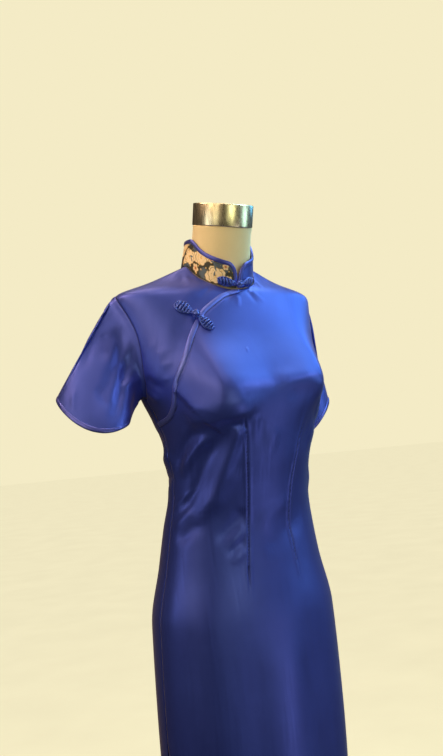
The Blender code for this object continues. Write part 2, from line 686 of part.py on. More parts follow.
class Collar:
    """One half of the collar. u runs along its base from the front end, h upwards, off outwards."""

    def __init__(self, side):
        self.side = side
        turns = np.linspace(0, math.pi, 400)
        run = neckline(turns)
        self.base = skin(run[:, 0], run[:, 1]) + np.array([0, 0, COLLAR_CLEAR])
        travel = np.linalg.norm(np.diff(self.base, axis=0), axis=1)
        self.travel = np.concatenate([[0], np.cumsum(travel)]) - COLLAR_PARTING
        self.turns = turns
        self.length = self.travel[-1] - SEAM / 2

    def point(self, u, h, off=0.0):
        u, h, off = np.broadcast_arrays(np.asarray(u, float), np.asarray(h, float), np.asarray(off, float))
        base = np.stack([np.interp(u, self.travel, self.base[:, i]) for i in range(3)], axis=-1)
        turn = np.interp(u, self.travel, self.turns)
        outward = np.stack([np.sin(turn), -np.cos(turn), np.zeros_like(turn)], axis=-1)
        rise = unit(np.array([0, -COLLAR_LEAN, 1.0]) - outward * np.array([COLLAR_TAPER, 0, 0]))
        ahead = np.stack([np.cos(turn), np.sin(turn), np.zeros_like(turn)], axis=-1)
        normal = unit(np.cross(ahead, rise))
        place = base + rise * h[..., None] + normal * off[..., None]
        return place * np.array([self.side, 1.0, 1.0])

    def height(self, u):
        along, up = COLLAR_CORNER
        short = np.clip(1 - u / along, 0, 1)
        back = COLLAR_BACK_RISE * smooth_step(u / self.length)
        return COLLAR_HEIGHT + back - up * (1 - np.sqrt(1 - short**2))


def collar_columns(length):
    along = COLLAR_CORNER[0]
    corner = along * (1 - np.cos(np.linspace(0, math.pi / 2, COLLAR_CORNER_COLUMNS + 1)))
    return np.concatenate([corner, np.linspace(along, length, COLLAR_COLUMNS + 1)[1:]])


def make_collar(side_name, side, material):
    collar = Collar(side)
    u = collar_columns(collar.length)
    top = collar.height(u)
    h = np.linspace(0, 1, COLLAR_ROWS + 1)[:, None] * top
    u_grid = np.broadcast_to(u, h.shape)
    wall("collar_" + side_name, collar.point(u_grid, h), collar.point(u_grid, h, -COLLAR_WALL), material)

    path = np.vstack([[0.0, COLLAR_BINDING_START], np.stack([u, top], axis=-1)])
    ahead = unit(np.gradient(path, axis=0))
    inward = np.stack([ahead[:, 1], -ahead[:, 0]], axis=-1)
    inward[0], inward[-1] = (1, 0), (0, -1)
    legs = WRAP + [(along, -COLLAR_WALL - off) for along, off in WRAP[::-1]]
    sections = []
    for along, off in legs:
        place = path + inward * along
        sections.append(collar.point(place[:, 0], place[:, 1], off))
    sweep("collar_binding_" + side_name, np.stack(sections, axis=1), TRIM)


make_collar("right", -1, BROCADE)
make_collar("left", 1, SATIN)

# ---------------------------------------------------------------- frog closures


def make_leaf(name, place, spread, lift):
    """A coiled cord leaf. place turns (along, across, off) into points; lift is its rise at the knot."""
    phase = np.arange(LEAF_SIDES) * 2 * math.pi / LEAF_SIDES
    along = LEAF_LENGTH * (1 - np.cos(phase)) / 2
    across = np.sin(phase) * (spread * 1.27 * np.sin(phase / 2) + LEAF_NECK)
    heart = LEAF_LENGTH * 0.66
    rows = []
    for ring in LEAF_RINGS:
        p, q = heart + (along - heart) * ring.share, across * ring.share
        near = smooth_step(1 - p / (LEAF_LENGTH * 0.55))
        rows.append(place(p, q, LEAF_CLEAR + lift * near + ring.rise))
    rings = np.stack(rows)
    sides = LEAF_SIDES
    faces = grid_faces(len(rows), sides, 0, ring=True)
    faces += [tuple(range(sides)), tuple(range((len(rows) - 1) * sides, len(rows) * sides))]
    add_mesh(name, rings.reshape(-1, 3), faces, CORD)


def make_knot(name, centre, axis):
    """A ball knot, with the three passes of cord that show on it as ridges."""
    bpy.ops.mesh.primitive_uv_sphere_add(segments=16, ring_count=10, radius=KNOT_RADIUS, location=(0, 0, 0))
    obj = bpy.context.object
    obj.name = obj.data.name = name
    turn = Vector((0, 0, 1)).rotation_difference(Vector(axis)).to_matrix().to_4x4()
    obj.data.transform(Matrix.Translation(Vector(centre)) @ turn)
    obj.data.materials.append(CORD)
    obj.data.polygons.foreach_set("use_smooth", [True] * len(obj.data.polygons))
    for holder in list(obj.users_collection):
        holder.objects.unlink(obj)
    COLLECTION.objects.link(obj)


right_half, left_half = Collar(-1), Collar(1)


def on_collar(half):
    def place(along, across, off):
        return half.point(COLLAR_FROG_START + along, COLLAR_FROG_HEIGHT + across, off)

    return place


make_leaf("frog_collar_leaf_right", on_collar(right_half), COLLAR_LEAF_SPREAD, BINDING_LIFT)
make_leaf("frog_collar_leaf_left", on_collar(left_half), COLLAR_LEAF_SPREAD, BINDING_LIFT)
knot_back = right_half.point(0.0, COLLAR_FROG_HEIGHT)
knot_front = right_half.point(0.0, COLLAR_FROG_HEIGHT, 1.0) - knot_back
collar_knot = knot_back * np.array([0, 1, 1]) + knot_front * np.array([0, 1, 1]) * KNOT_RISE
make_knot("frog_collar_knot", collar_knot, (0.0, 0.0, 1.0))

knot_station = np.array([math.radians(CHEST_FROG.angle), CHEST_FROG.height])
frog_axis = unit(np.array(CHEST_FROG_AXIS))
knot_skin, knot_normal = skin(*knot_station), skin_normal(*knot_station)
frog_axis = unit(frog_axis - knot_normal * (frog_axis @ knot_normal))
frog_side = np.cross(knot_normal, frog_axis)


def on_chest(direction):
    def place(along, across, off):
        vectors = frog_axis * direction * (CHEST_FROG_START + along)[:, None] + frog_side * across[:, None]
        stations = shifted(np.broadcast_to(knot_station, (len(along), 2)), vectors)
        angle, height = stations.T
        return skin(angle, height) + skin_normal(angle, height) * off[:, None]

    return place


make_leaf("frog_chest_leaf_upper", on_chest(-1), CHEST_LEAF_SPREAD, 0.0)
make_leaf("frog_chest_leaf_lower", on_chest(1), CHEST_LEAF_SPREAD, BINDING_LIFT)
make_knot("frog_chest_knot", knot_skin + knot_normal * KNOT_RISE, tuple(frog_side))

# ---------------------------------------------------------------- the form

NeckRing = namedtuple("NeckRing", "height half_width half_depth centre")
NECK = [
    NeckRing(1.300, 0.066, 0.062, -0.030),
    NeckRing(1.350, 0.0600, 0.0570, -0.0165),
    NeckRing(1.391, 0.0550, 0.0545, -0.0055),
    NeckRing(1.430, 0.0530, 0.0530, 0.0065),
    NeckRing(1.462, 0.0525, 0.0525, 0.0155),
    NeckRing(1.520, 0.0525, 0.0525, 0.0310),
]


def neck_value(name, height):
    return np.interp(height, [ring.height for ring in NECK], [getattr(ring, name) for ring in NECK])


def form_reach(angle, height, centre):
    """How far the form reaches from a point on its centre line: the larger of body and neck, blended."""
    s, c = np.sin(angle), np.cos(angle)
    a, d = neck_value("half_width", height), neck_value("half_depth", height)
    off = centre - neck_value("centre", height)
    quad, half, rest = (s / a) ** 2 + (c / d) ** 2, c * off / d**2, (off / d) ** 2 - 1
    neck = (-half + np.sqrt(half**2 - quad * rest)) / quad * smooth_step((height - 1.26) / 0.04)
    raised = np.minimum(height + FORM_DROP, SECTIONS[-1].height - 0.002)
    body = reach(angle, raised) - FORM_GAP
    fade = smooth_step((height - 1.388) / 0.01)
    body = (1 - fade) * body + fade * np.minimum(body, 0.03)
    blend = NECK_BLEND
    h = np.clip(0.5 + 0.5 * (body - neck) / blend, 0, 1)
    return neck * (1 - h) + body * h + blend * h * (1 - h)


def form_ring(height, tilt):
    angle = np.arange(FORM_COLUMNS) * 2 * math.pi / FORM_COLUMNS
    centre = float(profile("centre", min(height, 1.399)))
    level = np.full(FORM_COLUMNS, height)
    if tilt:
        centre = float(neck_value("centre", height))
    for _ in range(4):
        far = form_reach(angle, level, centre)
        level = height - tilt * NECK_LEAN * far * np.cos(angle)
    x = far * np.sin(angle)
    forward = centre + far * np.cos(angle)
    forward = forward + bust(x, level) * np.clip(np.cos(angle), 0, 1) ** 0.5
    return np.stack([x, -forward, level], axis=-1)


rings = [form_ring(height, 0.0) for height in FORM_LEVELS]
rings += [form_ring(row.height, row.tilt) for row in FORM_NECK_LEVELS]
form = np.stack(rings)
faces = grid_faces(len(rings), FORM_COLUMNS, 0, ring=True)
top_start = (len(rings) - 1) * FORM_COLUMNS
faces += [tuple(range(FORM_COLUMNS)), tuple(range(top_start, top_start + FORM_COLUMNS))]
add_mesh("form_body", form.reshape(-1, 3), faces, LINEN)

# ---------------------------------------------------------------- neck cap and stand

cap_outline = [(0, 0), (CAP_RADIUS, 0), (CAP_RADIUS, CAP_HEIGHT), (0, CAP_HEIGHT)]
cap = turned("neck_cap", cap_outline, POLISHED, steps=48, bevel=0.0015)
cap_axis = Vector((0.0, -NECK_LEAN, 1.0)).normalized()
tilt = Vector((0, 0, 1)).rotation_difference(cap_axis).to_matrix().to_4x4()
seat = Vector(tuple(rings[-1].mean(axis=0))) + cap_axis * CAP_CLEAR
cap.matrix_world = Matrix.Translation(seat) @ tilt

turned(
    "form_flange",
    [
        (0, FORM_BOTTOM - SEAM - FLANGE_HEIGHT),
        (FLANGE_RADIUS, FORM_BOTTOM - SEAM - FLANGE_HEIGHT),
        (FLANGE_RADIUS, FORM_BOTTOM - SEAM),
        (0, FORM_BOTTOM - SEAM),
    ],
    PAINTED,
    steps=32,
    bevel=0.001,
)
pole_top = FORM_BOTTOM - FLANGE_HEIGHT - 2 * SEAM
turned(
    "pole",
    [(0, BASE_HEIGHT + SEAM), (POLE_RADIUS, BASE_HEIGHT + SEAM), (POLE_RADIUS, pole_top), (0, pole_top)],
    POLISHED,
    steps=24,
)
turned(
    "base",
    [
        (0, 0),
        (BASE_RADIUS, 0),
        (BASE_RADIUS, BASE_HEIGHT * 0.6),
        (BASE_RADIUS * 0.97, BASE_HEIGHT),
        (0, BASE_HEIGHT),
    ],
    POLISHED,
    steps=56,
    bevel=0.0015,
)
turned(
    "pole_socket",
    [
        (POLE_RADIUS + SEAM, BASE_HEIGHT + SEAM),
        (SOCKET_RADIUS, BASE_HEIGHT + SEAM),
        (SOCKET_RADIUS, BASE_HEIGHT + SOCKET_HEIGHT),
        (POLE_RADIUS + SEAM, BASE_HEIGHT + SOCKET_HEIGHT),
        (POLE_RADIUS + SEAM, BASE_HEIGHT + SEAM),
    ],
    POLISHED,
    steps=32,
    bevel=0.001,
)
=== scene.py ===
"""The looks of a short-sleeved blue satin cheongsam on a dressmaker's form.

Metres, +Z up, front towards -Y, wearer's left towards +X. "Forward" is the distance towards the
front, so y = -forward. The cloth pieces are thin shells on the same body sections, seam lines and
sleeve hems as the solids, with the creases, darts and seams added in their own sizes.
"""

import math
from collections import namedtuple

import bmesh
import bpy
import numpy as np
from mathutils import Matrix, Vector


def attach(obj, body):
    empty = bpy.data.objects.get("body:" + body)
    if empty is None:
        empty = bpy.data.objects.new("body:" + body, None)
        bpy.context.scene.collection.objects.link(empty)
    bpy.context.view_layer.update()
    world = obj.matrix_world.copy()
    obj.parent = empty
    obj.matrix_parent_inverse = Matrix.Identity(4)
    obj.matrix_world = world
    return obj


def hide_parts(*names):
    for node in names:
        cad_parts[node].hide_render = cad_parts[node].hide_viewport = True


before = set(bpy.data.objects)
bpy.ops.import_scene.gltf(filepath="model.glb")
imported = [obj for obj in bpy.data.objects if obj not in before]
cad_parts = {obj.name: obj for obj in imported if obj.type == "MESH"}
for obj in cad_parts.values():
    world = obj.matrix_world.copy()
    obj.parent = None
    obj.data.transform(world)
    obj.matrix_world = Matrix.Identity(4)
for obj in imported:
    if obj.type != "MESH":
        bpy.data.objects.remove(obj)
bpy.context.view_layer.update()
bpy.ops.object.select_all(action="DESELECT")

# ---------------------------------------------------------------- cut and sizes
CLOTH = 0.0011  # thickness of the shells
COLLAR_WALL = 0.0020  # the collar has a lining inside
SEAM = 0.0003  # gap between two pieces
FINE = 12  # fine stations for each coarse row
SIDE_ROWS, ARMHOLE_ROWS, SHOULDER_ROWS = 24, 12, 5  # rows of the coarse cut along each seam
FORM_COLUMNS = 112
LEAF_NECK = 0.0016  # width of a leaf where it leaves the knot
NECK_SIDE = 0.066  # half the width of the neckline
NECK_DEPTH = 0.060  # from the side neck points to the front or the back of the neckline
NECK_CENTRE = -0.013  # forward of the side neck points
TIP_HEIGHT = 1.343  # of the shoulder tip, where the armhole starts
ARMPIT_HEIGHT = 1.164
HEM_HEIGHT = 0.420
SLIT_HEIGHT = 0.640
SLIT_SPREAD = 0.035  # how far each hem corner stands back from the side, in radians
BUST_HEIGHT = 1.160
BUST_TILT = 0.12  # how much higher the cloth is full for each unit towards the left
BUST_SIDE = 0.102  # from the centre front to where the cloth starts to round off
BUST_RISE = 0.038
BUST_SPREAD = (0.030, 0.068, 0.034)  # outwards, upwards and downwards
BUST_DIP = 0.75  # how much less the cloth is pushed out at the centre front
COLLAR_HEIGHT = 0.043
COLLAR_BACK_RISE = 0.007  # how much taller it is at the back
COLLAR_CLEAR = 0.0008  # under the collar
COLLAR_LEAN = 0.27  # forward for each unit upwards
COLLAR_TAPER = 0.13  # inward at the sides for each unit upwards
COLLAR_CORNER = (0.020, 0.030)  # the rounded front end, along the collar and upwards
COLLAR_BINDING_START = 0.0035  # up the front edge, clear of the opening's binding
COLLAR_PARTING = 0.0018  # from the centre front to each end of the collar
BINDING_END = 0.60  # how far over the last step to the collar the opening's binding runs
BINDING_LIFT = 0.0019  # what lies over a binding stands this much higher
UNDERLAP_DROP = 0.0024  # how far the underlap lies below the dress's face by the opening
UNDERLAP_REACH = 0.045  # how far it goes on under the front panel
UNDERLAP_NECK = 0.20  # where its hidden edge meets the neckline, in radians past the centre front
UNDERLAP_RISE = 0.040  # the distance from the opening at which it is flush with the dress again
UNDERLAP_LEVEL = 0.010  # and the distance within which it is fully down
LEAF_LENGTH = 0.033
LEAF_CLEAR = 0.0007  # under a leaf
CHEST_LEAF_SPREAD = 0.0086  # half the width of a leaf
COLLAR_LEAF_SPREAD = 0.0066
KNOT_RADIUS = 0.0055
KNOT_RISE = 0.0078  # from the cloth to the knot's centre
CHEST_FROG_START = 0.0063  # from the knot's centre to each leaf
COLLAR_FROG_START = 0.0046
COLLAR_FROG_HEIGHT = 0.0082
CHEST_FROG_AXIS = (0.62, -0.51, -0.60)
FORM_GAP = 0.0065  # from the dress's face to the form's skin, level
FORM_DROP = 0.0042  # the same, upwards at the shoulders
NECK_TOP = 1.4615
NECK_LEAN = 0.25
NECK_BLEND = 0.004  # how softly the neck runs into the shoulders
CAP_RADIUS = 0.0535
CAP_CLEAR = 0.0004
CAP_HEIGHT = 0.039
ARMHOLE_SEAM = 0.0004  # the same round the armholes, where the two walls meet at an angle

# The body of the dress, one row for each level. half_width is at the side seam, centre is how
# far forward the side seam lies, front and back are the reach from the pole's axis, and the
# powers say how square the front and the back are. All but the powers are written in mm.
Section = namedtuple("Section", "height half_width centre front back front_power back_power")
SECTIONS = [
    Section(*(value / 1000 for value in row[:5]), *row[5:])
    for row in (
        (400, 172, -10, 98, 134, 2.1, 2.1), (600, 175, -10, 100, 137, 2.1, 2.1),
        (780, 172, -10, 96, 140, 2.1, 2.1), (875, 152, -9, 87, 127, 2.1, 2.1),
        (940, 141, -6, 85, 112, 2.1, 2.1), (1000, 132, -1, 97, 90, 2.1, 2.1),
        (1060, 135, 0, 115, 82, 2.1, 2.1), (1120, 149, -4, 126, 93, 2.1, 2.1),
        (1165, 164, -13, 129, 108, 2.1, 2.2), (1200, 176, -17, 114, 115, 2.2, 2.2),
        (1265, 188, -24, 81, 118, 2.2, 2.2), (1300, 195, -30, 67, 113, 2.2, 2.2),
        (1338, 203, -34, 52, 104, 2.1, 2.1), (1345, 197, -34, 48, 101, 2.1, 2.1),
        (1360, 146, -30, 31, 94, 2.0, 2.0), (1375, 109, -22, 16, 86, 2.0, 2.0),
        (1391, 72, -12, 6, 76, 2.0, 2.0), (1400, 48, -12, 0, 66, 2.0, 2.0),
    )
]
PROFILE_STEP = 0.001
PROFILE_SOFTNESS = 0.006  # rounds the profile where rows meet

# Seam lines as they run over that surface: degrees round from the centre front, and height.
Station = namedtuple("Station", "angle height")


def station_rows(*rows):
    return [Station(*row) for row in rows]


# The armhole runs from the shoulder tip down the front, and up the back to the tip again.
ARMHOLE = station_rows(
    (90.0, 1.343), (86.2, 1.333), (82.8, 1.31), (80.3, 1.279), (80.0, 1.245), (81.6, 1.212),
    (84.8, 1.182), (90.0, 1.164), (96.0, 1.181), (100.3, 1.212), (102.2, 1.248), (101.3, 1.281),
    (97.8, 1.311), (94.0, 1.333),
)
OPENING = station_rows(
    (-90.0, 1.122), (-78.8, 1.1305), (-71.8, 1.146), (-68.2, 1.162), (-64.5, 1.184), (-58.4, 1.22),
    (-53.4, 1.262), (-47.2, 1.2915), (-40.8, 1.3105), (-23.4, 1.3338), (0.0, 1.343),
)

CHEST_FROG = Station(-48.5, 1.2955)

# The form's levels: up to the neck they are flat, and from there they tip towards the cap.
FORM_LEVELS = [0.720, 0.78, 0.84, 0.88, 0.915, 0.945, 0.97, 0.99, 1.01, 1.03, 1.055, 1.08, 1.10]
FORM_LEVELS += [1.12, 1.145, 1.17, 1.20, 1.235, 1.27, 1.30, 1.32, 1.332, 1.341, 1.348, 1.355, 1.363]
FORM_LEVELS += [1.371, 1.379, 1.388, 1.398]
NECK_HEIGHTS = [FORM_LEVELS[-1], 1.412, 1.428, 1.444, NECK_TOP]
NECK_TILTS = [0.0, 0.25, 0.60, 0.90, 1.0]

# The two sleeve hems, each a flattened loop. turn is the direction of its long axis from
# straight out to the side, backwards, and lead is how far its own top lies in front of the end of
# that axis, both in degrees. The last three shape its height.
Cuff = namedtuple(
    "Cuff", "side x forward height half_length half_depth turn lead outer_rise front_drop twist"
)
CUFF_RIGHT = Cuff(-1, 0.269, -0.002, 1.138, 0.0570, 0.046, 33, 22, 0.0245, 0.0105, 0.0095)
CUFF_LEFT = Cuff(1, 0.189, -0.037, 1.104, 0.0460, 0.057, -33, -24, 0.0300, 0.0120, 0.0080)

# The largest folds of the sleeves: where each runs round the sleeve, how wide and how deep.
Fold = namedtuple("Fold", "turn width start end depth")
FOLDS_RIGHT = [
    Fold(0.20, 0.030, 0.15, 0.55, -0.0035),
    Fold(0.28, 0.028, 0.10, 0.60, -0.0050),
    Fold(0.43, 0.030, 0.25, 0.60, -0.0030),
    Fold(0.75, 0.045, 0.15, 0.60, -0.0050),
]
FOLDS_LEFT = [
    Fold(0.17, 0.030, 0.15, 0.55, -0.0045),
    Fold(0.30, 0.035, 0.10, 0.60, -0.0055),
    Fold(0.72, 0.040, 0.15, 0.60, -0.0050),
]

# ---------------------------------------------------------------- small sums


def unit(vectors):
    return vectors / np.maximum(np.linalg.norm(vectors, axis=-1, keepdims=True), 1e-12)


def bell(value, width):
    return np.exp(-0.5 * (value / width) ** 2)


def smooth_step(value):
    t = np.clip(value, 0, 1)
    return t * t * (3 - 2 * t)


def hermite(t, start, leave, finish, arrive):
    """A cubic from start to finish, with its directions at both ends."""
    first = (2 * t**3 - 3 * t**2 + 1) * start + (t**3 - 2 * t**2 + t) * leave
    return first + (3 * t**2 - 2 * t**3) * finish + (t**3 - t**2) * arrive


def smooth_run(rows, steps, closed=False):
    """A smooth run through some rows, by Catmull-Rom."""
    p = np.array(rows, float)
    p = np.vstack([p[-1], p, p[:2]] if closed else [2 * p[0] - p[1], p, 2 * p[-1] - p[-2]])
    t = np.linspace(0, 1, steps, endpoint=False)[:, None]
    parts = []
    for a, b, c, d in zip(p[:-3], p[1:-2], p[2:-1], p[3:]):
        square, cube = 2 * a - 5 * b + 4 * c - d, 3 * b - a - 3 * c + d
        parts.append(0.5 * (2 * b + (c - a) * t + square * t**2 + cube * t**3))
    return np.vstack(parts + [p[-2:-1]])


def travelled(points):
    """How far each point of a run lies from its first."""
    return np.concatenate([[0], np.cumsum(np.linalg.norm(np.diff(points, axis=0), axis=1))])


def looked_up(places, at, rows):
    """Each column of some rows, looked up at some places."""
    return np.stack([np.interp(places, at, rows[:, i]) for i in range(rows.shape[1])], axis=-1)


# ---------------------------------------------------------------- the body's surface


def smooth_profile(heights, values):
    """A profile through the rows with no overshoot, rounded by a short moving average."""
    h, v = np.array(heights), np.array(values)
    steps = np.diff(h)
    slopes = np.diff(v) / steps
    tangents = np.zeros_like(v)
    together = slopes[:-1] * slopes[1:] > 0
    first, second = 2 * steps[1:] + steps[:-1], steps[1:] + 2 * steps[:-1]
    lower, upper = np.where(together, slopes[:-1], 1), np.where(together, slopes[1:], 1)
    below = np.where(together, first / lower + second / upper, 1)
    tangents[1:-1] = np.where(together, (first + second) / below, 0)
    tangents[0], tangents[-1] = slopes[0], slopes[-1]
    fine = np.arange(h[0], h[-1], PROFILE_STEP)
    i = np.clip(np.searchsorted(h, fine, side="right") - 1, 0, len(h) - 2)
    width = steps[i]
    t = (fine - h[i]) / width
    curve = hermite(t, v[i], width * tangents[i], v[i + 1], width * tangents[i + 1])
    reach = int(3 * PROFILE_SOFTNESS / PROFILE_STEP)
    kernel = bell(np.arange(-reach, reach + 1) * PROFILE_STEP, PROFILE_SOFTNESS)
    padded = np.concatenate([np.full(reach, curve[0]), curve, np.full(reach, curve[-1])])
    return fine, np.convolve(padded, kernel / kernel.sum(), mode="valid")


PROFILES = {
    name: smooth_profile([row.height for row in SECTIONS], [getattr(row, name) for row in SECTIONS])
    for name in Section._fields[1:]
}


def profile(name, height):
    return np.interp(height, *PROFILES[name])


def bust(x, height):
    """How much the cups and darts push the front forward."""
    outward, up, down = BUST_SPREAD
    above = height - BUST_HEIGHT - BUST_TILT * x
    rise = bell(above, np.where(above > 0, up, down))
    beyond = np.maximum(np.abs(x) - BUST_SIDE, 0)
    inside = 1 - BUST_DIP * np.maximum(1 - (x / BUST_SIDE) ** 2, 0) ** 1.3
    return BUST_RISE * rise * inside * bell(beyond, outward)


def reach(angle, height):
    """How far the plain rings reach from their centre, without the cups."""
    half_width, centre = profile("half_width", height), profile("centre", height)
    s, c = np.abs(np.sin(angle)), np.cos(angle)
    ahead = c > 0
    depth = np.where(ahead, profile("front", height) - centre, profile("back", height) + centre)
    power = np.where(ahead, profile("front_power", height), profile("back_power", height))
    return ((s / half_width) ** power + (np.abs(c) / depth) ** power) ** (-1 / power)


def skin(angle, height):
    """Points of the dress's outer face. Angle 0 is the centre front and 90 degrees the left side."""
    angle, height = np.broadcast_arrays(np.asarray(angle, float), np.asarray(height, float))
    distance = reach(angle, height)
    x = distance * np.sin(angle)
    forward = profile("centre", height) + distance * np.cos(angle)
    forward = forward + bust(x, height) * np.clip(np.cos(angle), 0, 1) ** 0.5
    return np.stack([x, -forward, height], axis=-1)


def skin_normal(angle, height):
    turn, rise = 0.01, 0.0015
    around = skin(angle + turn, height) - skin(angle - turn, height)
    upward = skin(angle, height + rise) - skin(angle, height - rise)
    return unit(np.cross(around, upward))


def on_skin(stations):
    return skin(stations[..., 0], stations[..., 1])


def out_of_skin(stations):
    return skin_normal(stations[..., 0], stations[..., 1])


# ---------------------------------------------------------------- seam lines


def spaced(run, count):
    """Count + 1 stations at equal distances along a run of (angle, height) pairs, in radians."""
    travel = travelled(on_skin(run))
    return looked_up(np.linspace(0, travel[-1], count + 1), travel, run)


def through(stations, closed=False, steps=24):
    """A smooth run through a table of stations, in radians."""
    return smooth_run([(math.radians(s.angle), s.height) for s in stations], steps, closed)


def neckline(turn):
    """The (angle, height) pairs of the neckline, an ellipse from above, dropped onto the body."""
    turn = np.asarray(turn, float)
    x, forward = NECK_SIDE * np.sin(turn), NECK_CENTRE + NECK_DEPTH * np.cos(turn)
    low, high = np.full(turn.shape, 1.30), np.full(turn.shape, 1.399)
    for _ in range(30):
        middle = (low + high) / 2
        behind = forward - profile("centre", middle)
        inside = np.hypot(x, behind) < reach(np.arctan2(x, behind), middle)
        low, high = np.where(inside, middle, low), np.where(inside, high, middle)
    angle = np.arctan2(x, forward - profile("centre", low))
    return np.stack([np.where(turn > math.pi, angle + 2 * math.pi, angle), low], axis=-1)


def by_the_side(side, face, heights, spread=0.0):
    apart = SEAM / 2 / profile("half_width", heights) + spread
    return np.stack([side * (math.pi / 2 - face * apart), heights], axis=-1)


def side_seam(side, face, low, high, count):
    """Stations up a side seam. face is 1 on the front panel and -1 on the back panel."""
    heights = np.linspace(low, high, count + 1)
    spread = SLIT_SPREAD * smooth_step((SLIT_HEIGHT - heights) / (SLIT_HEIGHT - HEM_HEIGHT))
    return by_the_side(side, face, heights, spread)


def armhole(side, face, count=ARMHOLE_ROWS):
    """Stations up one half of an armhole, from the armpit to the shoulder tip."""
    loop = through(ARMHOLE, closed=True)
    armpit = loop[:, 1].argmin()
    run = loop[: armpit + 1][::-1] if face > 0 else loop[armpit:]
    stations = spaced(run, count)
    apart = SEAM / 2 / profile("half_width", stations[:, 1])
    stations[:, 0] = np.where(
        face > 0,
        np.minimum(stations[:, 0], math.pi / 2 - apart),
        np.maximum(stations[:, 0], math.pi / 2 + apart),
    )
    stations[:, 0] *= side
    return stations


def shoulder(side, face, count=SHOULDER_ROWS):
    """Stations up the shoulder seam, from the tip to the neckline."""
    heights = np.linspace(TIP_HEIGHT, neckline(side * math.pi / 2)[1], count + 1)
    return by_the_side(side, face, heights)


def joined(*runs):
    return np.vstack([runs[0]] + [run[1:] for run in runs[1:]])


def frame_on(run):
    """Points, normals and the direction to the left of travel, along a run on the body."""
    points, normals = on_skin(run), out_of_skin(run)
    ahead = unit(np.gradient(points, axis=0))
    return points, normals, unit(np.cross(normals, ahead))


class Sleeve:
    """A sleeve's outer face, as points for a turn round it (0 to 1) and a way along it (0 to 1)."""

    def __init__(self, cuff, folds):
        self.cuff, self.folds = cuff, folds
        front = armhole(cuff.side, 1, ARMHOLE_ROWS * FINE)[::-1]
        back = armhole(cuff.side, -1, ARMHOLE_ROWS * FINE)
        run = np.vstack([back[-3:-1], front, back[1:], front[1:3]]) * (cuff.side, 1)
        points, normals, left = (value[2:-2] for value in frame_on(run))
        mirror = np.array([cuff.side, 1.0, 1.0])
        self.turns = np.linspace(0, 1, len(points))
        off = left * mirror
        self.off = off * np.sign(off[:, :1] * cuff.side)
        self.rim = points * mirror + self.off * ARMHOLE_SEAM
        self.rim_normal = normals * mirror

    def along_rim(self, values, turn):
        return looked_up(np.mod(turn, 1.0), self.turns, values)

    def hem(self, turn):
        cuff = self.cuff
        phase = 2 * math.pi * turn + math.radians(cuff.lead)
        aside = math.radians(cuff.turn)
        out, ahead = cuff.half_length * np.cos(phase), cuff.half_depth * np.sin(phase)
        x = cuff.x + out * math.cos(aside) + ahead * math.sin(aside)
        forward = cuff.forward - out * math.sin(aside) + ahead * math.cos(aside)
        height = cuff.height + cuff.outer_rise * np.cos(phase) - cuff.front_drop * np.sin(phase)
        height = height + cuff.twist * np.cos(2 * phase)
        return np.stack([cuff.side * x, -forward, height], axis=-1)

    def plain(self, turn, way):
        turn, way = np.broadcast_arrays(np.asarray(turn, float), np.asarray(way, float))
        start, finish = self.along_rim(self.rim, turn), self.hem(turn)
        chord = finish - start
        length = np.linalg.norm(chord, axis=-1, keepdims=True)
        top = (0.5 + 0.5 * np.cos(2 * math.pi * turn))[..., None]
        off = unit(self.along_rim(self.off, turn))
        leave = unit((0.8 + 0.2 * top) * off + (1 - top) * 0.3 * chord / length)
        leave = leave * length * (0.70 - 0.25 * top)
        arrive = unit(chord / length + np.array([0, 0, -0.18])) * length * 0.9
        return hermite(way[..., None], start, leave, finish, arrive)

    def normal(self, place, turn, way):
        """The outward normal of a surface given as a function of turn and way."""
        around = place(turn + 0.004, way) - place(turn - 0.004, way)
        low, high = np.maximum(way - 0.01, 0), np.minimum(way + 0.01, 1)
        along = place(turn, high) - place(turn, low)
        across = unit(np.cross(around, along)) * self.cuff.side
        rim = unit(self.along_rim(self.rim_normal, turn))
        near = (1 - smooth_step(np.asarray(way) / 0.12))[..., None]
        return unit(near * rim + (1 - near) * across)

    def point(self, turn, way):
        turn, way = np.broadcast_arrays(np.asarray(turn, float), np.asarray(way, float))
        depth = np.zeros(turn.shape)
        for fold in self.folds:
            round_it = np.mod(turn - fold.turn + 0.5, 1.0) - 0.5
            ends = smooth_step((way - fold.start) / 0.25) * (1 - smooth_step((way - fold.end) / 0.35))
            depth = depth + fold.depth * bell(round_it, fold.width) * ends
        return self.plain(turn, way) + self.normal(self.plain, turn, way) * depth[..., None]


class Collar:
    """One half of the collar. u runs along its base from the front end, h upwards, off outwards."""

    def __init__(self, side):
        self.side = side
        turns = np.linspace(0, math.pi, 400)
        run = neckline(turns)
        self.base = on_skin(run) + np.array([0, 0, COLLAR_CLEAR])
        self.travel = travelled(self.base) - COLLAR_PARTING
        self.turns = turns
        self.length = self.travel[-1] - SEAM / 2

    def point(self, u, h, off=0.0):
        u, h, off = np.broadcast_arrays(*(np.asarray(value, float) for value in (u, h, off)))
        base = looked_up(u, self.travel, self.base)
        turn = np.interp(u, self.travel, self.turns)
        outward = np.stack([np.sin(turn), -np.cos(turn), np.zeros_like(turn)], axis=-1)
        rise = unit(np.array([0, -COLLAR_LEAN, 1.0]) - outward * np.array([COLLAR_TAPER, 0, 0]))
        ahead = np.stack([np.cos(turn), np.sin(turn), np.zeros_like(turn)], axis=-1)
        normal = unit(np.cross(ahead, rise))
        place = base + rise * h[..., None] + normal * off[..., None]
        return place * np.array([self.side, 1.0, 1.0])

    def height(self, u):
        along, up = COLLAR_CORNER
        short = np.clip(1 - u / along, 0, 1)
        back = COLLAR_BACK_RISE * smooth_step(u / self.length)
        return COLLAR_HEIGHT + back - up * (1 - np.sqrt(1 - short**2))


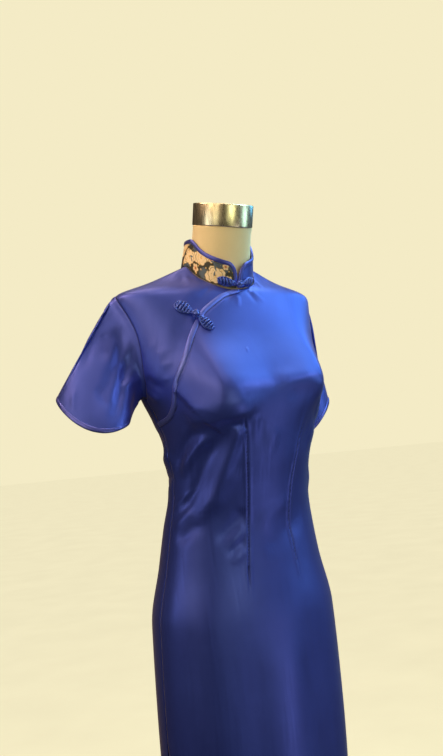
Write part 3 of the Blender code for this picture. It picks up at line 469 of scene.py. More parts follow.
NeckRing = namedtuple("NeckRing", "height half_width half_depth centre")
NECK = [
    NeckRing(1.300, 0.066, 0.062, -0.030),
    NeckRing(1.350, 0.0600, 0.0570, -0.0165),
    NeckRing(1.391, 0.0550, 0.0545, -0.0055),
    NeckRing(1.430, 0.0530, 0.0530, 0.0065),
    NeckRing(1.462, 0.0525, 0.0525, 0.0155),
    NeckRing(1.520, 0.0525, 0.0525, 0.0310),
]


def neck_value(name, height):
    return np.interp(height, [ring.height for ring in NECK], [getattr(ring, name) for ring in NECK])


def form_reach(angle, height, centre):
    """How far the form reaches from its centre line: the larger of body and neck, blended."""
    s, c = np.sin(angle), np.cos(angle)
    a, d = neck_value("half_width", height), neck_value("half_depth", height)
    off = centre - neck_value("centre", height)
    quad, half, rest = (s / a) ** 2 + (c / d) ** 2, c * off / d**2, (off / d) ** 2 - 1
    neck = (-half + np.sqrt(half**2 - quad * rest)) / quad * smooth_step((height - 1.26) / 0.04)
    raised = np.minimum(height + FORM_DROP, SECTIONS[-1].height - 0.002)
    body = reach(angle, raised) - FORM_GAP
    fade = smooth_step((height - 1.388) / 0.01)
    body = (1 - fade) * body + fade * np.minimum(body, 0.03)
    blend = NECK_BLEND
    h = np.clip(0.5 + 0.5 * (body - neck) / blend, 0, 1)
    return neck * (1 - h) + body * h + blend * h * (1 - h)


def form_ring(height, tilt):
    angle = np.arange(FORM_COLUMNS) * 2 * math.pi / FORM_COLUMNS
    centre = float(profile("centre", min(height, 1.399)))
    level = np.full(FORM_COLUMNS, height)
    if tilt:
        centre = float(neck_value("centre", height))
    for _ in range(4):
        far = form_reach(angle, level, centre)
        level = height - tilt * NECK_LEAN * far * np.cos(angle)
    x = far * np.sin(angle)
    forward = centre + far * np.cos(angle)
    forward = forward + bust(x, level) * np.clip(np.cos(angle), 0, 1) ** 0.5
    return np.stack([x, -forward, level], axis=-1)


# ---------------------------------------------------------------- creases of the body
# Each row is a line over the cloth, then in mm how high the cloth stands there (a trough is below
# 0) and how wide it is on each side of the line, and how softly its two ends run out. On the body
# the line is degrees and mm up in turn, and on a sleeve the turn round it and the way along it.
Crease = namedtuple("Crease", "line rise width far_width lead tail")


def steps_of(line, scale=1000):
    """A line's values as pairs, with the second of each pair divided by scale."""
    return np.reshape(line, (-1, 2)) / (1, scale)


def creases(scale, *rows):
    return [
        Crease(steps_of(line, scale), rise / 1000, near / 1000, far / 1000, lead, tail)
        for line, rise, near, far, lead, tail in rows
    ]


BODY_CREASES = creases(
    1000,
    # drag folds from the right side of the waist up to the bust, crests and troughs in turn
    ([-79.2, 1024, -68.5, 1058, -57.7, 1083, -47.8, 1100], 6.4, 6.6, 5.6, 0.3, 0.35),
    ([-83.8, 1036, -76, 1066, -65.8, 1093, -57.5, 1107], -3, 6, 6, 0.25, 0.3),
    ([-82.2, 958, -73.2, 988, -64.8, 1017, -57, 1050, -48.5, 1078, -40.5, 1101], -3.6, 6, 6, 0.2, 0.3),
    ([-67.2, 945, -59.5, 974, -50.5, 1007, -42.5, 1042, -36, 1072, -31.5, 1099, -30.6, 1108],
     7.4, 9.5, 8.5, 0.25, 0.24),
    ([-89.5, 972, -79.2, 992, -67, 1013], 1.8, 1.8, 2.4, 0.3, 0.4),
    ([-55.8, 961, -47.5, 991, -38, 1020, -30.5, 1042], 2.4, 7, 8, 0.3, 0.4),
    ([-55.2, 911, -44.5, 933, -33.8, 955, -26.8, 971], -2.6, 8.5, 7, 0.3, 0.3),
    ([-45.8, 904, -33.5, 927, -26.3, 937], 1.6, 6, 6, 0.35, 0.35),
    ([-46, 889, -36.8, 908, -28, 920], -1.3, 4.5, 5, 0.35, 0.35),
    ([-42.5, 877, -33.5, 893, -27.8, 902], 1.1, 5.5, 5.5, 0.35, 0.35),
    ([-82.2, 917, -71.5, 938, -63.2, 956], -2.6, 7.5, 7.5, 0.3, 0.4),
    ([-86, 940, -77, 962, -70, 980], 2, 5, 6, 0.3, 0.4),
    # the full part of the bust: lower towards the right, sharp below and soft above
    ([-68, 1118, -60, 1122, -51.8, 1124.5, -39, 1126, -28.2, 1130.5, -19.5, 1138.5, -6, 1152],
     7.6, 25, 10, 0.22, 0.45),
    ([-2, 1167, 11.8, 1174, 29.5, 1182, 50, 1185], 3.4, 18, 9, 0.4, 0.4),
    ([4, 1150, 24, 1157, 45, 1160], -3.4, 10, 14, 0.4, 0.4),
    # short pulls under the bust
    ([-16.4, 1126.1, -16.8, 1105, -18.5, 1076], 1, 3, 4.2, 0.35, 0.45),
    ([-11.5, 1120, -11.8, 1096, -13.2, 1060], -0.9, 4.6, 5.2, 0.35, 0.45),
    ([-0.2, 1103, -1.2, 1078, -6.2, 1040], 1.8, 8, 8, 0.35, 0.45),
    ([-17.8, 934, 7.8, 960, 35.8, 980], 2.4, 11, 12, 0.3, 0.35),
    ([-12.5, 887, 19.2, 920, 46.5, 943], -2.2, 11, 12, 0.3, 0.35),
    ([45.6, 1148, 48, 1128, 52, 1104], 2.6, 2.8, 3.6, 0.3, 0.35),
    ([52, 1150, 54.5, 1130, 58, 1110], 2, 2.8, 3.6, 0.3, 0.35),
    # the side of the waist, both sides
    ([-110, 1092, -98, 1093, -86, 1095], -3.6, 11, 11, 0.25, 0.35),
    ([-112, 1054, -98, 1060, -84, 1068], 3.4, 7.5, 8, 0.25, 0.35),
    ([-112, 1016, -98, 1025, -86, 1035], -4, 7, 7.5, 0.25, 0.35),
    ([36, 1082, 56, 1086, 74, 1090], 4.6, 16, 19, 0.35, 0.35),
    ([96, 1060, 88, 1044, 76, 1050], 3, 7, 8, 0.25, 0.35),
    ([100, 1025, 90, 1008, 74, 1016], -3, 6.5, 7.5, 0.25, 0.35),
    ([88, 990, 72, 999, 56, 1025], 2.6, 8, 9, 0.25, 0.35),
    # pulls from the armpit over the right chest
    ([-80.4, 1236.8, -74.6, 1246.5, -68, 1261], 0.6, 4.5, 5, 0.3, 0.4),
    ([-72.4, 1230, -66.8, 1238.3, -60, 1250], 0.6, 4, 4.5, 0.3, 0.4),
    ([-70.8, 1212.7, -65.1, 1217.4, -60.5, 1223], 0.7, 3.2, 4, 0.3, 0.4),
    ([-71.4, 1189.5, -66.4, 1194.3, -61.5, 1200], 0.7, 3.2, 4, 0.3, 0.4),
    ([-82.4, 1200, -76.9, 1185.6, -70, 1175], -2.2, 6, 6.5, 0.25, 0.35),
    ([-85.6, 1180.7, -82, 1167.7, -77.2, 1156.4], 2, 3.5, 5, 0.25, 0.35),
    ([80, 1205, 74, 1190, 66, 1183], -2.2, 6, 7, 0.25, 0.35),
    ([84, 1185, 79, 1170, 71, 1160], 2, 4, 5.5, 0.25, 0.35),
    # small pulls round the neckline
    ([-80, 1381.9, -68.5, 1369.1, -60.1, 1353.7], -0.9, 2.2, 2.8, 0.1, 0.6),
    ([-78.2, 1381.7, -61.6, 1364.4, -51, 1346.5], 0.8, 2.4, 2.8, 0.1, 0.6),
    ([-69.7, 1375.2, -53, 1361.6, -39.8, 1350.4], -0.8, 2.4, 2.8, 0.1, 0.6),
    ([-33.3, 1350.5, -39.3, 1338.4, -45.4, 1325], -0.8, 2.8, 3.2, 0.1, 0.6),
    ([-12.7, 1333.8, -16.1, 1326.5, -22.1, 1315.1], -1, 2.6, 3.4, 0.1, 0.6),
    ([-4, 1330, -5.5, 1320, -8, 1306], 0.8, 3, 3.4, 0.1, 0.6),
    ([11.5, 1342.5, 15, 1330.8, 19, 1311.6], -1, 2.8, 3.2, 0.1, 0.6),
    ([18.6, 1343.7, 23.5, 1330.1, 30.4, 1315.8], 0.8, 2.6, 3.2, 0.1, 0.6),
    ([53.7, 1368.5, 42.1, 1356.8, 32.5, 1339.2], -0.8, 2.6, 3, 0.1, 0.6),
    ([80, 1381, 67, 1368, 57, 1350], -0.9, 2.5, 3, 0.1, 0.6),
    # where a pin once sat
    ([-15.2, 1231.2, -13.3, 1232.2, -11.6, 1234.5], 0.8, 1.2, 1.6, 0.35, 0.45),
    # the back: drag folds over the waist and from the shoulder blades
    ([112, 1075, 128, 1054, 148, 1048], 3, 8.5, 9.5, 0.3, 0.4),
    ([108, 1042, 126, 1024, 150, 1020], -2.8, 8, 8.5, 0.3, 0.4),
    ([112, 1003, 130, 994, 152, 999], 2.6, 9, 10, 0.3, 0.4),
    ([110, 968, 126, 964, 148, 974], -2, 8.5, 9.5, 0.3, 0.4),
    ([250, 1082, 233, 1059, 214, 1052], 2.8, 8, 9.5, 0.3, 0.4),
    ([253, 1048, 236, 1029, 211, 1025], -2.8, 7.5, 9, 0.3, 0.4),
    ([250, 1008, 231, 997, 209, 1002], 2.4, 8.5, 10, 0.3, 0.4),
    ([251, 965, 236, 960, 214, 970], -2, 9, 10, 0.3, 0.4),
    ([170, 1050, 182, 1040, 196, 1052], -2, 9, 9, 0.35, 0.35),
    ([102, 1190, 114, 1176, 128, 1178], -2.2, 8, 9, 0.25, 0.45),
    ([103, 1225, 115, 1220, 128, 1228], 1.6, 7, 8, 0.25, 0.45),
    ([258, 1193, 246, 1180, 231, 1184], -2.2, 8, 9, 0.25, 0.45),
    ([257, 1229, 245, 1222, 233, 1232], 1.6, 7, 8, 0.25, 0.45),
    # slow waves down the skirt
    ([-62, 860, -58, 740, -56, 560, -57, 430], 3, 20, 23, 0.35, 0.15),
    ([-34, 820, -30, 680, -31, 520, -30, 420], -2.2, 19, 21, 0.35, 0.1),
    ([2, 830, 4, 690, 0, 540, 1, 420], 2.6, 23, 23, 0.35, 0.1),
    ([36, 850, 33, 700, 37, 550, 35, 420], -2.4, 20, 22, 0.35, 0.1),
    ([64, 840, 60, 700, 62, 560, 60, 430], 2.8, 21, 21, 0.35, 0.15),
    ([122, 860, 126, 720, 124, 570, 125, 420], 2.8, 22, 22, 0.35, 0.1),
    ([152, 830, 150, 700, 153, 550, 151, 420], -2.2, 21, 21, 0.35, 0.1),
    ([181, 820, 178, 680, 182, 520, 180, 420], 2.6, 24, 24, 0.35, 0.1),
    ([212, 840, 209, 710, 212, 560, 210, 420], -2.4, 21, 21, 0.35, 0.1),
    ([240, 860, 236, 720, 239, 570, 236, 420], 2.8, 22, 22, 0.35, 0.1),
)

# Darts: sewn lines in degrees and mm up, pressed to one side, with small puckers beside them.
# Then where along them the puckers start and end, the side that these lie on, and their seed.
Dart = namedtuple("Dart", "line begin end side seed")
DARTS = [
    Dart([-28, 1124, -24.6, 1090, -24.4, 1032, -24.5, 982, -25, 932, -27, 878, -28.6, 830], 0.30, 0.95, 1, 3),
    Dart([33, 1125, 29, 1081.8, 27.6, 1048.6, 27, 1003.7, 27, 965.5, 28, 924.5, 29.6, 880.7, 31.6, 830],
         0.35, 0.95, -1, 5),
    Dart([156, 1210, 157.5, 1140, 158, 1060, 158, 1000, 157.5, 940, 156.5, 870], 0.3, 0.9, -1, 7),
    Dart([204, 1210, 202.5, 1140, 202, 1060, 202, 1000, 202.5, 940, 203.5, 870], 0.3, 0.9, 1, 11),
]
DART_RISE, DART_WIDTH = -0.0016, 0.0011
LAID_RISE, LAID_WIDTH = 0.0006, 0.0022  # the folded cloth beside a dart, and how wide it stands
LAID_OFF = 0.004  # and how far off the seam
PUCKER_RISE, PUCKER_OFF = 0.00055, 0.0042
BUST_DARTS = [
    [-66, 1172, -64.5, 1166, -59, 1139, -52, 1113, -45.8, 1100, -40.6, 1090.5],
    [82, 1150, 73, 1138, 66, 1128, 57, 1115, 50, 1104],
]
BUST_DART_RISE = 0.0026  # the cup's edge over the dart
DART_SHADE_WIDTH, SEAM_SHADE_WIDTH = 0.0008, 0.0007  # how wide the painted shade along a dart's line and along a seam is
SEAM_DIP, SEAM_WIDTH = -0.0009, 0.0013  # the cloth turns in towards every seam


def line_over(place, rows, steps=10):
    """Points and sideways directions along a line of (a, b) rows, for a surface place(a, b)."""
    p = smooth_run(rows, steps)
    points = place(p[:, 0], p[:, 1])
    sideways = place(p[:, 0] + 0.01, p[:, 1]) - place(p[:, 0] - 0.01, p[:, 1])
    upward = place(p[:, 0], p[:, 1] + 0.002) - place(p[:, 0], p[:, 1] - 0.002)
    out = unit(np.cross(sideways, upward))
    return points, unit(np.cross(out, unit(np.gradient(points, axis=0))))


def beside(points, line, left, far):
    """For points within far of a line: which they are, how far off to its left, and how far along."""
    low, high = line.min(0) - far, line.max(0) + far
    near = np.flatnonzero(((points > low) & (points < high)).all(-1))
    off, along = np.zeros(len(near)), np.zeros(len(near))
    for start in range(0, len(near), 20000):
        some = slice(start, start + 20000)
        apart = points[near[some]][:, None] - line
        gap = (apart**2).sum(-1)
        k = gap.argmin(1)
        rows = np.arange(len(k))
        side = np.sign((apart[rows, k] * left[k]).sum(-1))
        off[some] = np.where(side == 0, 1, side) * np.sqrt(gap[rows, k])
        along[some] = k / (len(line) - 1)
    return near, off, along


def crease_lift(points, place, creases):
    """How far a set of creases lifts each point off its plain surface."""
    flat = points.reshape(-1, 3)
    lift = np.zeros(len(flat))
    for crease in creases:
        line, left = line_over(place, crease.line)
        near, off, along = beside(flat, line, left, 3.2 * max(crease.width, crease.far_width))
        width = np.where(off > 0, crease.width, crease.far_width)
        ends = smooth_step(along / crease.lead) * smooth_step((1 - along) / crease.tail)
        lift[near] += crease.rise * bell(off, width) * ends
    return lift.reshape(points.shape[:-1])


def over_body(degrees, height):
    return skin(np.radians(degrees), height)


# The seam lines that the cloth dips into, with painted shade along them, as points on the body.
SEAM_RUNS = []
for side in (1, -1):
    SEAM_RUNS += [on_skin(armhole(side, face, 160)) for face in (1, -1)]
    SEAM_RUNS.append(on_skin(shoulder(side, 1, 90)))
    SEAM_RUNS.append(on_skin(side_seam(side, 1, 0.43, ARMPIT_HEIGHT, 300)))
SEAM_RUNS.append(on_skin(neckline(np.linspace(0, 2 * math.pi, 400))))


def seam_dip(points, lines):
    """How far the cloth turns in towards some seams, and the painted shade along those seams."""
    flat = points.reshape(-1, 3)
    lift, shade = np.zeros(len(flat)), np.zeros(len(flat))
    for run in lines:
        near, off, _ = beside(flat, run, np.ones_like(run), 0.006)
        lift[near] += SEAM_DIP * bell(off, SEAM_WIDTH)
        # painted shade along the seam line
        shade[near] = np.maximum(shade[near], bell(off, SEAM_SHADE_WIDTH))
    return lift.reshape(points.shape[:-1]), shade.reshape(points.shape[:-1])


def relief(points):
    """The whole lift of the body's cloth over its plain surface, and the painted shade along its seams and
    darts.
    """
    flat, shape = points.reshape(-1, 3), points.shape[:-1]
    lift = crease_lift(points, over_body, BODY_CREASES).ravel()
    dark = np.zeros(len(flat))
    for dart in DARTS:
        line, left = line_over(over_body, steps_of(dart.line))
        near, off, along = beside(flat, line, left, 0.02)
        ends = smooth_step(along / 0.12) * smooth_step((1 - along) / 0.08)
        lift[near] += DART_RISE * bell(off, DART_WIDTH) * ends
        lift[near] += LAID_RISE * bell(np.abs(off) - LAID_OFF, LAID_WIDTH) * ends
        # painted shade along the dart's sewn line
        dark[near] = np.maximum(dark[near], bell(off, DART_SHADE_WIDTH) * ends)
        chance = np.random.default_rng(dart.seed)
        at, length = dart.begin, np.linalg.norm(line[-1] - line[0])
        beyond = off * dart.side - PUCKER_OFF
        while at < dart.end:
            size = chance.uniform(0.6, 1.3)
            slanted = (along - at) * length + 0.6 * beyond
            lift[near] += PUCKER_RISE * size * bell(beyond, 0.0024) * bell(slanted, 0.0026)
            at += chance.uniform(0.035, 0.060)
    for values in BUST_DARTS:
        line, left = line_over(over_body, steps_of(values))
        near, off, along = beside(flat, line, left, 0.045)
        ends = smooth_step(along / 0.15) * smooth_step((1 - along) / 0.18)
        above = off > 0 if values[0] < 0 else off < 0
        lift[near] += BUST_DART_RISE * bell(off, np.where(above, 0.0150, 0.0012)) * ends
        # painted shade along the bust dart's line, under the cup's edge
        dark[near] = np.maximum(dark[near], 0.6 * bell(off, DART_SHADE_WIDTH) * ends)
    dip, seam_shade = seam_dip(points, SEAM_RUNS)
    return lift.reshape(shape) + dip, np.maximum(dark.reshape(shape), seam_shade)


# ---------------------------------------------------------------- making meshes


def grid_faces(rows, columns, ring=False, closed=False):
    """Quads over a grid of points: ring joins its last column to its first, closed its last row."""
    quads, size = [], rows * columns
    for r in range(rows if closed else rows - 1):
        for c in range(columns if ring else columns - 1):
            a, b = r * columns + c, r * columns + (c + 1) % columns
            quads.append((a, b, (b + columns) % size, (a + columns) % size))
    return quads


def alone(obj):
    """Make a piece the only selected one."""
    bpy.ops.object.select_all(action="DESELECT")
    bpy.context.view_layer.objects.active = obj
    obj.select_set(True)


def new_piece(name, vertices, faces, materials):
    mesh = bpy.data.meshes.new(name)
    mesh.from_pydata(np.asarray(vertices, float).tolist(), [], faces)
    mesh.validate()
    obj = bpy.data.objects.new(name, mesh)
    bpy.context.scene.collection.objects.link(obj)
    for material in materials:
        mesh.materials.append(material)
    mesh.polygons.foreach_set("use_smooth", [True] * len(mesh.polygons))
    return obj


def lay_uv(mesh, uv):
    """A UV map in metres over the cloth, from one pair for each vertex."""
    layer = mesh.uv_layers.new(name="cut")
    corner = np.zeros(len(mesh.loops), np.int32)
    mesh.loops.foreach_get("vertex_index", corner)
    layer.data.foreach_set("uv", np.asarray(uv, np.float32)[corner].ravel())


def cloth_shell(name, outer, outward, uv, materials, shade=None, thickness=CLOTH, ring=False):
    """A thin shell whose face is a grid of points. outward points out of the cloth at each."""
    rows, columns = outer.shape[:2]
    faces = grid_faces(rows, columns, ring)
    flat = outer.reshape(-1, 3)
    middle = faces[len(faces) // 2]
    a, b, c = flat[middle[0]], flat[middle[1]], flat[middle[2]]
    if np.dot(np.cross(b - a, c - a), outward.reshape(-1, 3)[middle[0]]) < 0:
        faces = [face[::-1] for face in faces]
    obj = new_piece(name, flat, faces, materials)
    lay_uv(obj.data, uv.reshape(-1, 2))
    # shade is painted shade along seams and darts, kept as a vertex attribute for the material.
    if shade is not None:
        values = obj.data.attributes.new("painted_seam_shade", "FLOAT", "POINT")
        values.data.foreach_set("value", shade.reshape(-1).astype(np.float32))
    solid = obj.modifiers.new("Cloth", "SOLIDIFY")
    solid.thickness = thickness
    solid.offset = -1
    if len(materials) > 1:
        solid.material_offset = 1
    alone(obj)
    bpy.ops.object.modifier_apply(modifier=solid.name)
    obj.select_set(False)
    return obj


def swept(name, sections, materials, ring=False, uv=None):
    """A closed body through a row of sections, each a loop with the same number of points."""
    count, sides = sections.shape[:2]
    faces = grid_faces(count, sides, ring=True, closed=ring)
    if not ring:
        faces += [tuple(range(sides)), tuple(range((count - 1) * sides, count * sides))]
    obj = new_piece(name, sections.reshape(-1, 3), faces, materials)
    if uv is None:
        uv = travelled(sections.mean(1))[:, None], np.arange(sides)[None] * 0.001
    lay_uv(obj.data, np.stack(np.broadcast_arrays(*uv), axis=-1).reshape(-1, 2))
    mesh = bmesh.new()
    mesh.from_mesh(obj.data)
    bmesh.ops.recalc_face_normals(mesh, faces=mesh.faces)
    mesh.to_mesh(obj.data)
    mesh.free()
    return obj


def dress(obj, node):
    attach(obj, "root")
    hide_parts(node)
    return obj


# ---------------------------------------------------------------- materials


class Paint:
    """A short way to write a material's nodes."""

    def __init__(self, name, colour, roughness, **sockets):
        self.material = bpy.data.materials.new(name)
        self.material.use_nodes = True
        self.nodes, self.links = self.material.node_tree.nodes, self.material.node_tree.links
        self.shader = self.nodes["Principled BSDF"]
        self.set(self.shader, **{"Base Color": (*colour, 1.0), "Roughness": roughness}, **sockets)

    def set(self, node, **values):
        for socket, value in values.items():
            node.inputs[socket.replace("__", " ")].default_value = value
        return node

    def add(self, kind, **values):
        node = self.nodes.new(kind)
        for key, value in values.items():
            setattr(node, key, value)
        return node

    def join(self, source, target):
        self.links.new(source, target)
        return self

    def mapped(self, output="Object", scale=(1, 1, 1)):
        coordinates, mapping = self.add("ShaderNodeTexCoord"), self.add("ShaderNodeMapping")
        mapping.inputs["Scale"].default_value = scale
        self.join(coordinates.outputs[output], mapping.inputs["Vector"])
        return mapping.outputs["Vector"]

    def noise(self, scale, detail=3.0, roughness=0.55, output="Object", stretch=(1, 1, 1)):
        node = self.add("ShaderNodeTexNoise")
        self.set(node, Scale=scale, Detail=detail, Roughness=roughness)
        self.join(self.mapped(output, stretch), node.inputs["Vector"])
        return node.outputs["Fac"]

    def ramp(self, value, low, high, start=0.0, end=1.0):
        node = self.add("ShaderNodeMapRange")
        self.set(node, **{"From Min": start, "From Max": end, "To Min": low, "To Max": high})
        self.join(value, node.inputs["Value"])
        return node.outputs["Result"]

    def mix(self, factor, a, b, blend="MIX"):
        node = self.add("ShaderNodeMix", data_type="RGBA", blend_type=blend)
        for socket, value in ((node.inputs[0], factor), (node.inputs[6], a), (node.inputs[7], b)):
            if isinstance(value, (int, float)):
                socket.default_value = value
            elif isinstance(value, tuple):
                socket.default_value = (*value, 1.0)
            else:
                self.join(value, socket)
        return node.outputs[2]

    def bump(self, height, strength, distance, under=None):
        node = self.add("ShaderNodeBump")
        self.set(node, Strength=strength, Distance=distance)
        self.join(height, node.inputs["Height"])
        if under is not None:
            self.join(under, node.inputs["Normal"])
        return node.outputs["Normal"]

    def colour(self, source):
        return self.join(source, self.shader.inputs["Base Color"])

    def gloss(self, source):
        return self.join(source, self.shader.inputs["Roughness"])

    def facing(self, source):
        return self.join(source, self.shader.inputs["Normal"])


def satin(name, deep, pale, roughness, seam_shade_dark=0.35, thread=1.0):
    """Satin: smooth long floats, fine threads along the cut, a little tone and gloss variation, and painted
    shade along the seams.
    """
    paint = Paint(
        name,
        deep,
        roughness,
        **{
            "Metallic": 0.6,
            "Specular IOR Level": 0.72,
            "Specular Tint": (0.80, 0.82, 1.0, 1.0),
            "Sheen Weight": 0.30,
            "Coat Weight": 0.18,
            "Coat Roughness": 0.42,
            "Sheen Roughness": 0.35,
            "Sheen Tint": (0.95, 0.84, 0.92, 1.0),
        },
    )
    cloudy = paint.noise(9.0, 4.0)
    streaks = paint.noise(1.0, 2.0, 0.6, "UV", (240.0, 9.0, 1.0))
    tone = paint.mix(paint.ramp(cloudy, 0.0, 1.0, 0.30, 0.72), deep, pale)
    tone = paint.mix(paint.ramp(streaks, 0.0, 0.20, 0.35, 0.75), tone, pale)
    # A vertex attribute darkens the colour along seams, darts and binding edges: painted shade.
    edge = paint.add("ShaderNodeAttribute", attribute_name="painted_seam_shade")
    dark = tuple(seam_shade_dark * value for value in deep)
    paint.colour(paint.mix(edge.outputs["Fac"], tone, dark))
    paint.gloss(paint.ramp(streaks, roughness - 0.05, roughness + 0.07, 0.3, 0.7))
    threads = paint.noise(1.0, 1.0, 0.5, "UV", (5200.0, 420.0, 1.0))
    soft = paint.noise(130.0, 3.0)
    paint.facing(paint.bump(threads, 0.10 * thread, 0.00004, paint.bump(soft, 0.22, 0.00022)))
    return paint.material


BLUE = satin("blue_satin_cloth", (0.032, 0.060, 0.56), (0.044, 0.082, 0.68), 0.43)
TRIM = satin("lilac_blue_binding", (0.085, 0.125, 0.78), (0.115, 0.165, 0.92), 0.38, 0.30)
# The same binding satin made darker for the sleeve hems and the collar: painted shade.
SHADED_TRIM = satin("shaded_blue_binding", (0.056, 0.076, 0.60), (0.080, 0.105, 0.72), 0.36, 0.30)
CORD = satin("blue_satin_cord", (0.038, 0.080, 0.58), (0.065, 0.125, 0.74), 0.26)

# ---------------------------------------------------------------- the body panels

FLOAT_LOW, FLOAT_HIGH = -0.0040, 0.0080  # how far the cloth may go in or out from the plain body


def crowded(count, centres, width, boost, edge):
    """Count + 1 places from 0 to 1, closer together round some centres and at both ends."""
    t = np.linspace(0, 1, 4001)
    weight = 1 + sum(boost * bell(t - c, width) for c in centres)
    weight = weight + edge * (bell(t, 0.006) + bell(1 - t, 0.006))
    total = np.concatenate([[0], np.cumsum((weight[1:] + weight[:-1]) / 2)])
    return np.interp(np.linspace(0, total[-1], count + 1), total, t)


def picked(run, places):
    """Stations of a run at some places, each a fraction of its count."""
    return looked_up(places, np.linspace(0, 1, len(run)), run)


def patch(left, right, places, top):
    """A grid of (angle, height) pairs between two edges and a top, with a plain hem. Rows go up."""
    top[0], top[-1] = left[-1], right[-1]
    u = places[None, :, None]
    v = np.linspace(0, 1, len(left))[:, None, None]
    bottom = (1 - u[0]) * left[0] + u[0] * right[0]
    across = (1 - u) * left[:, None] + u * right[:, None]
    upward = (1 - v) * bottom[None] + v * top[None]
    low_corners = (1 - u) * (1 - v) * bottom[0] + u * (1 - v) * bottom[-1]
    return across + upward - low_corners - ((1 - u) * v * top[0] + u * v * top[-1])


def laid_out(points):
    """Distances over a grid of points: across from its middle column, and up from its lowest row."""
    across, up = np.zeros(points.shape[:2]), np.zeros(points.shape[:2])
    across[:, 1:] = np.cumsum(np.linalg.norm(np.diff(points, axis=1), axis=-1), axis=1)
    up[1:] = np.cumsum(np.linalg.norm(np.diff(points, axis=0), axis=-1), axis=0)
    return np.stack([across - across[:, across.shape[1] // 2][:, None], up], axis=-1)


def body_panel(name, stations, drop=0.0):
    plain, out = on_skin(stations), out_of_skin(stations)
    lift, shade = relief(plain)
    lift = np.clip(lift, FLOAT_LOW, FLOAT_HIGH) - drop
    points = plain + out * lift[..., None]
    shell = cloth_shell(name + "_cloth", points, out, laid_out(plain), [BLUE], shade)
    return dress(shell, name)


def panel_edge(side, face, low=HEM_HEIGHT, rows=SIDE_ROWS * FINE):
    """Stations up a panel's edge: the side seam, the armhole and the shoulder seam."""
    return joined(
        side_seam(side, face, low, ARMPIT_HEIGHT, rows),
        armhole(side, face, ARMHOLE_ROWS * FINE),
        shoulder(side, face, SHOULDER_ROWS * FINE),
    )


def shifted(stations, vectors):
    """Stations moved over the body's surface by short vectors."""
    turn, rise = 0.002, 0.0005
    angle, height = stations[..., 0], stations[..., 1]
    around = (skin(angle + turn, height) - skin(angle - turn, height)) / (2 * turn)
    upward = (skin(angle, height + rise) - skin(angle, height - rise)) / (2 * rise)
    aa, ab, bb = (around**2).sum(-1), (around * upward).sum(-1), (upward**2).sum(-1)
    av, bv = (around * vectors).sum(-1), (upward * vectors).sum(-1)
    size = aa * bb - ab**2
    return stations + np.stack([(av * bb - bv * ab) / size, (bv * aa - av * ab) / size], axis=-1)


OPENING_ROWS = ARMHOLE_ROWS + SHOULDER_ROWS + 2
ALL_ROWS = SIDE_ROWS + ARMHOLE_ROWS + SHOULDER_ROWS
LOW, HIGH = 0.60 * SIDE_ROWS / ALL_ROWS, SIDE_ROWS / ALL_ROWS  # the fine rows start at the hips
PANEL_ROWS = np.concatenate(
    [np.linspace(0, LOW, 45)[:-1], np.linspace(LOW, HIGH, 113)[:-1], np.linspace(HIGH, 1, 85)]
)
DART_BOOST, EDGE_BOOST = 3.6, 6.0  # how much closer columns stand by darts and at edges
BINDING_FOOT = 0.0083  # from the opening's edge to the far side of its binding

neck_front = Station(0.0, float(neckline(0.0)[1]))
opening_run = spaced(through(OPENING[:-1] + [neck_front]), OPENING_ROWS * FINE)
opening_points, _, opening_left = frame_on(opening_run)
# The binding's inner edge is also a seam run: a dip, and painted shade in the ditch beside the binding.
SEAM_RUNS.append(on_skin(shifted(opening_run, -opening_left * BINDING_FOOT)))

front_rows = (ALL_ROWS - OPENING_ROWS) * FINE
front_right = joined(side_seam(-1, 1, HEM_HEIGHT, opening_run[0, 1], front_rows), opening_run)
front_right, front_left = picked(front_right, PANEL_ROWS), picked(panel_edge(1, 1), PANEL_ROWS)
places = crowded(160, (0.355, 0.655), 0.014, DART_BOOST, EDGE_BOOST)
front_top = neckline(places * math.pi / 2)
front = body_panel("front_panel", patch(front_right, front_left, places, front_top))

back_left = picked(panel_edge(1, -1), PANEL_ROWS)
back_right = picked(panel_edge(-1, -1) + (2 * math.pi, 0), PANEL_ROWS)
places = crowded(136, (0.372, 0.628), 0.012, DART_BOOST, EDGE_BOOST)
back_top = neckline(math.pi / 2 + places * math.pi)
back = body_panel("back_panel", patch(back_left, back_right, places, back_top))

outer_edge = panel_edge(-1, 1, opening_run[0, 1] - UNDERLAP_REACH, 4 * FINE)
outer_edge = picked(outer_edge, np.linspace(0, 1, 121))
hidden_edge = shifted(opening_run, -opening_left * UNDERLAP_REACH)
late = smooth_step(np.linspace(-4, 1, len(hidden_edge)))[:, None]
hidden_edge = (1 - late) * hidden_edge + late * neckline(UNDERLAP_NECK)
hidden_edge = spaced(hidden_edge, len(outer_edge) - 1)
places = crowded(76, (), 0.01, 0.0, 4.0)
underlap_top = neckline(-math.pi / 2 + places * (math.pi / 2 + UNDERLAP_NECK))
underlap_grid = patch(outer_edge, hidden_edge, places, underlap_top)
underlap_points = on_skin(underlap_grid)
under = np.zeros(underlap_points.shape[:2])
for row, points in enumerate(underlap_points):
    apart = points[:, None] - opening_points
    nearest = np.linalg.norm(apart, axis=-1).argmin(-1)
    under[row] = -(apart[np.arange(len(points)), nearest] * opening_left[nearest]).sum(-1)
fall = UNDERLAP_DROP * smooth_step((under + UNDERLAP_RISE) / (UNDERLAP_RISE - UNDERLAP_LEVEL))
underlap = body_panel("front_underlap", underlap_grid, fall)

# ---------------------------------------------------------------- sleeves

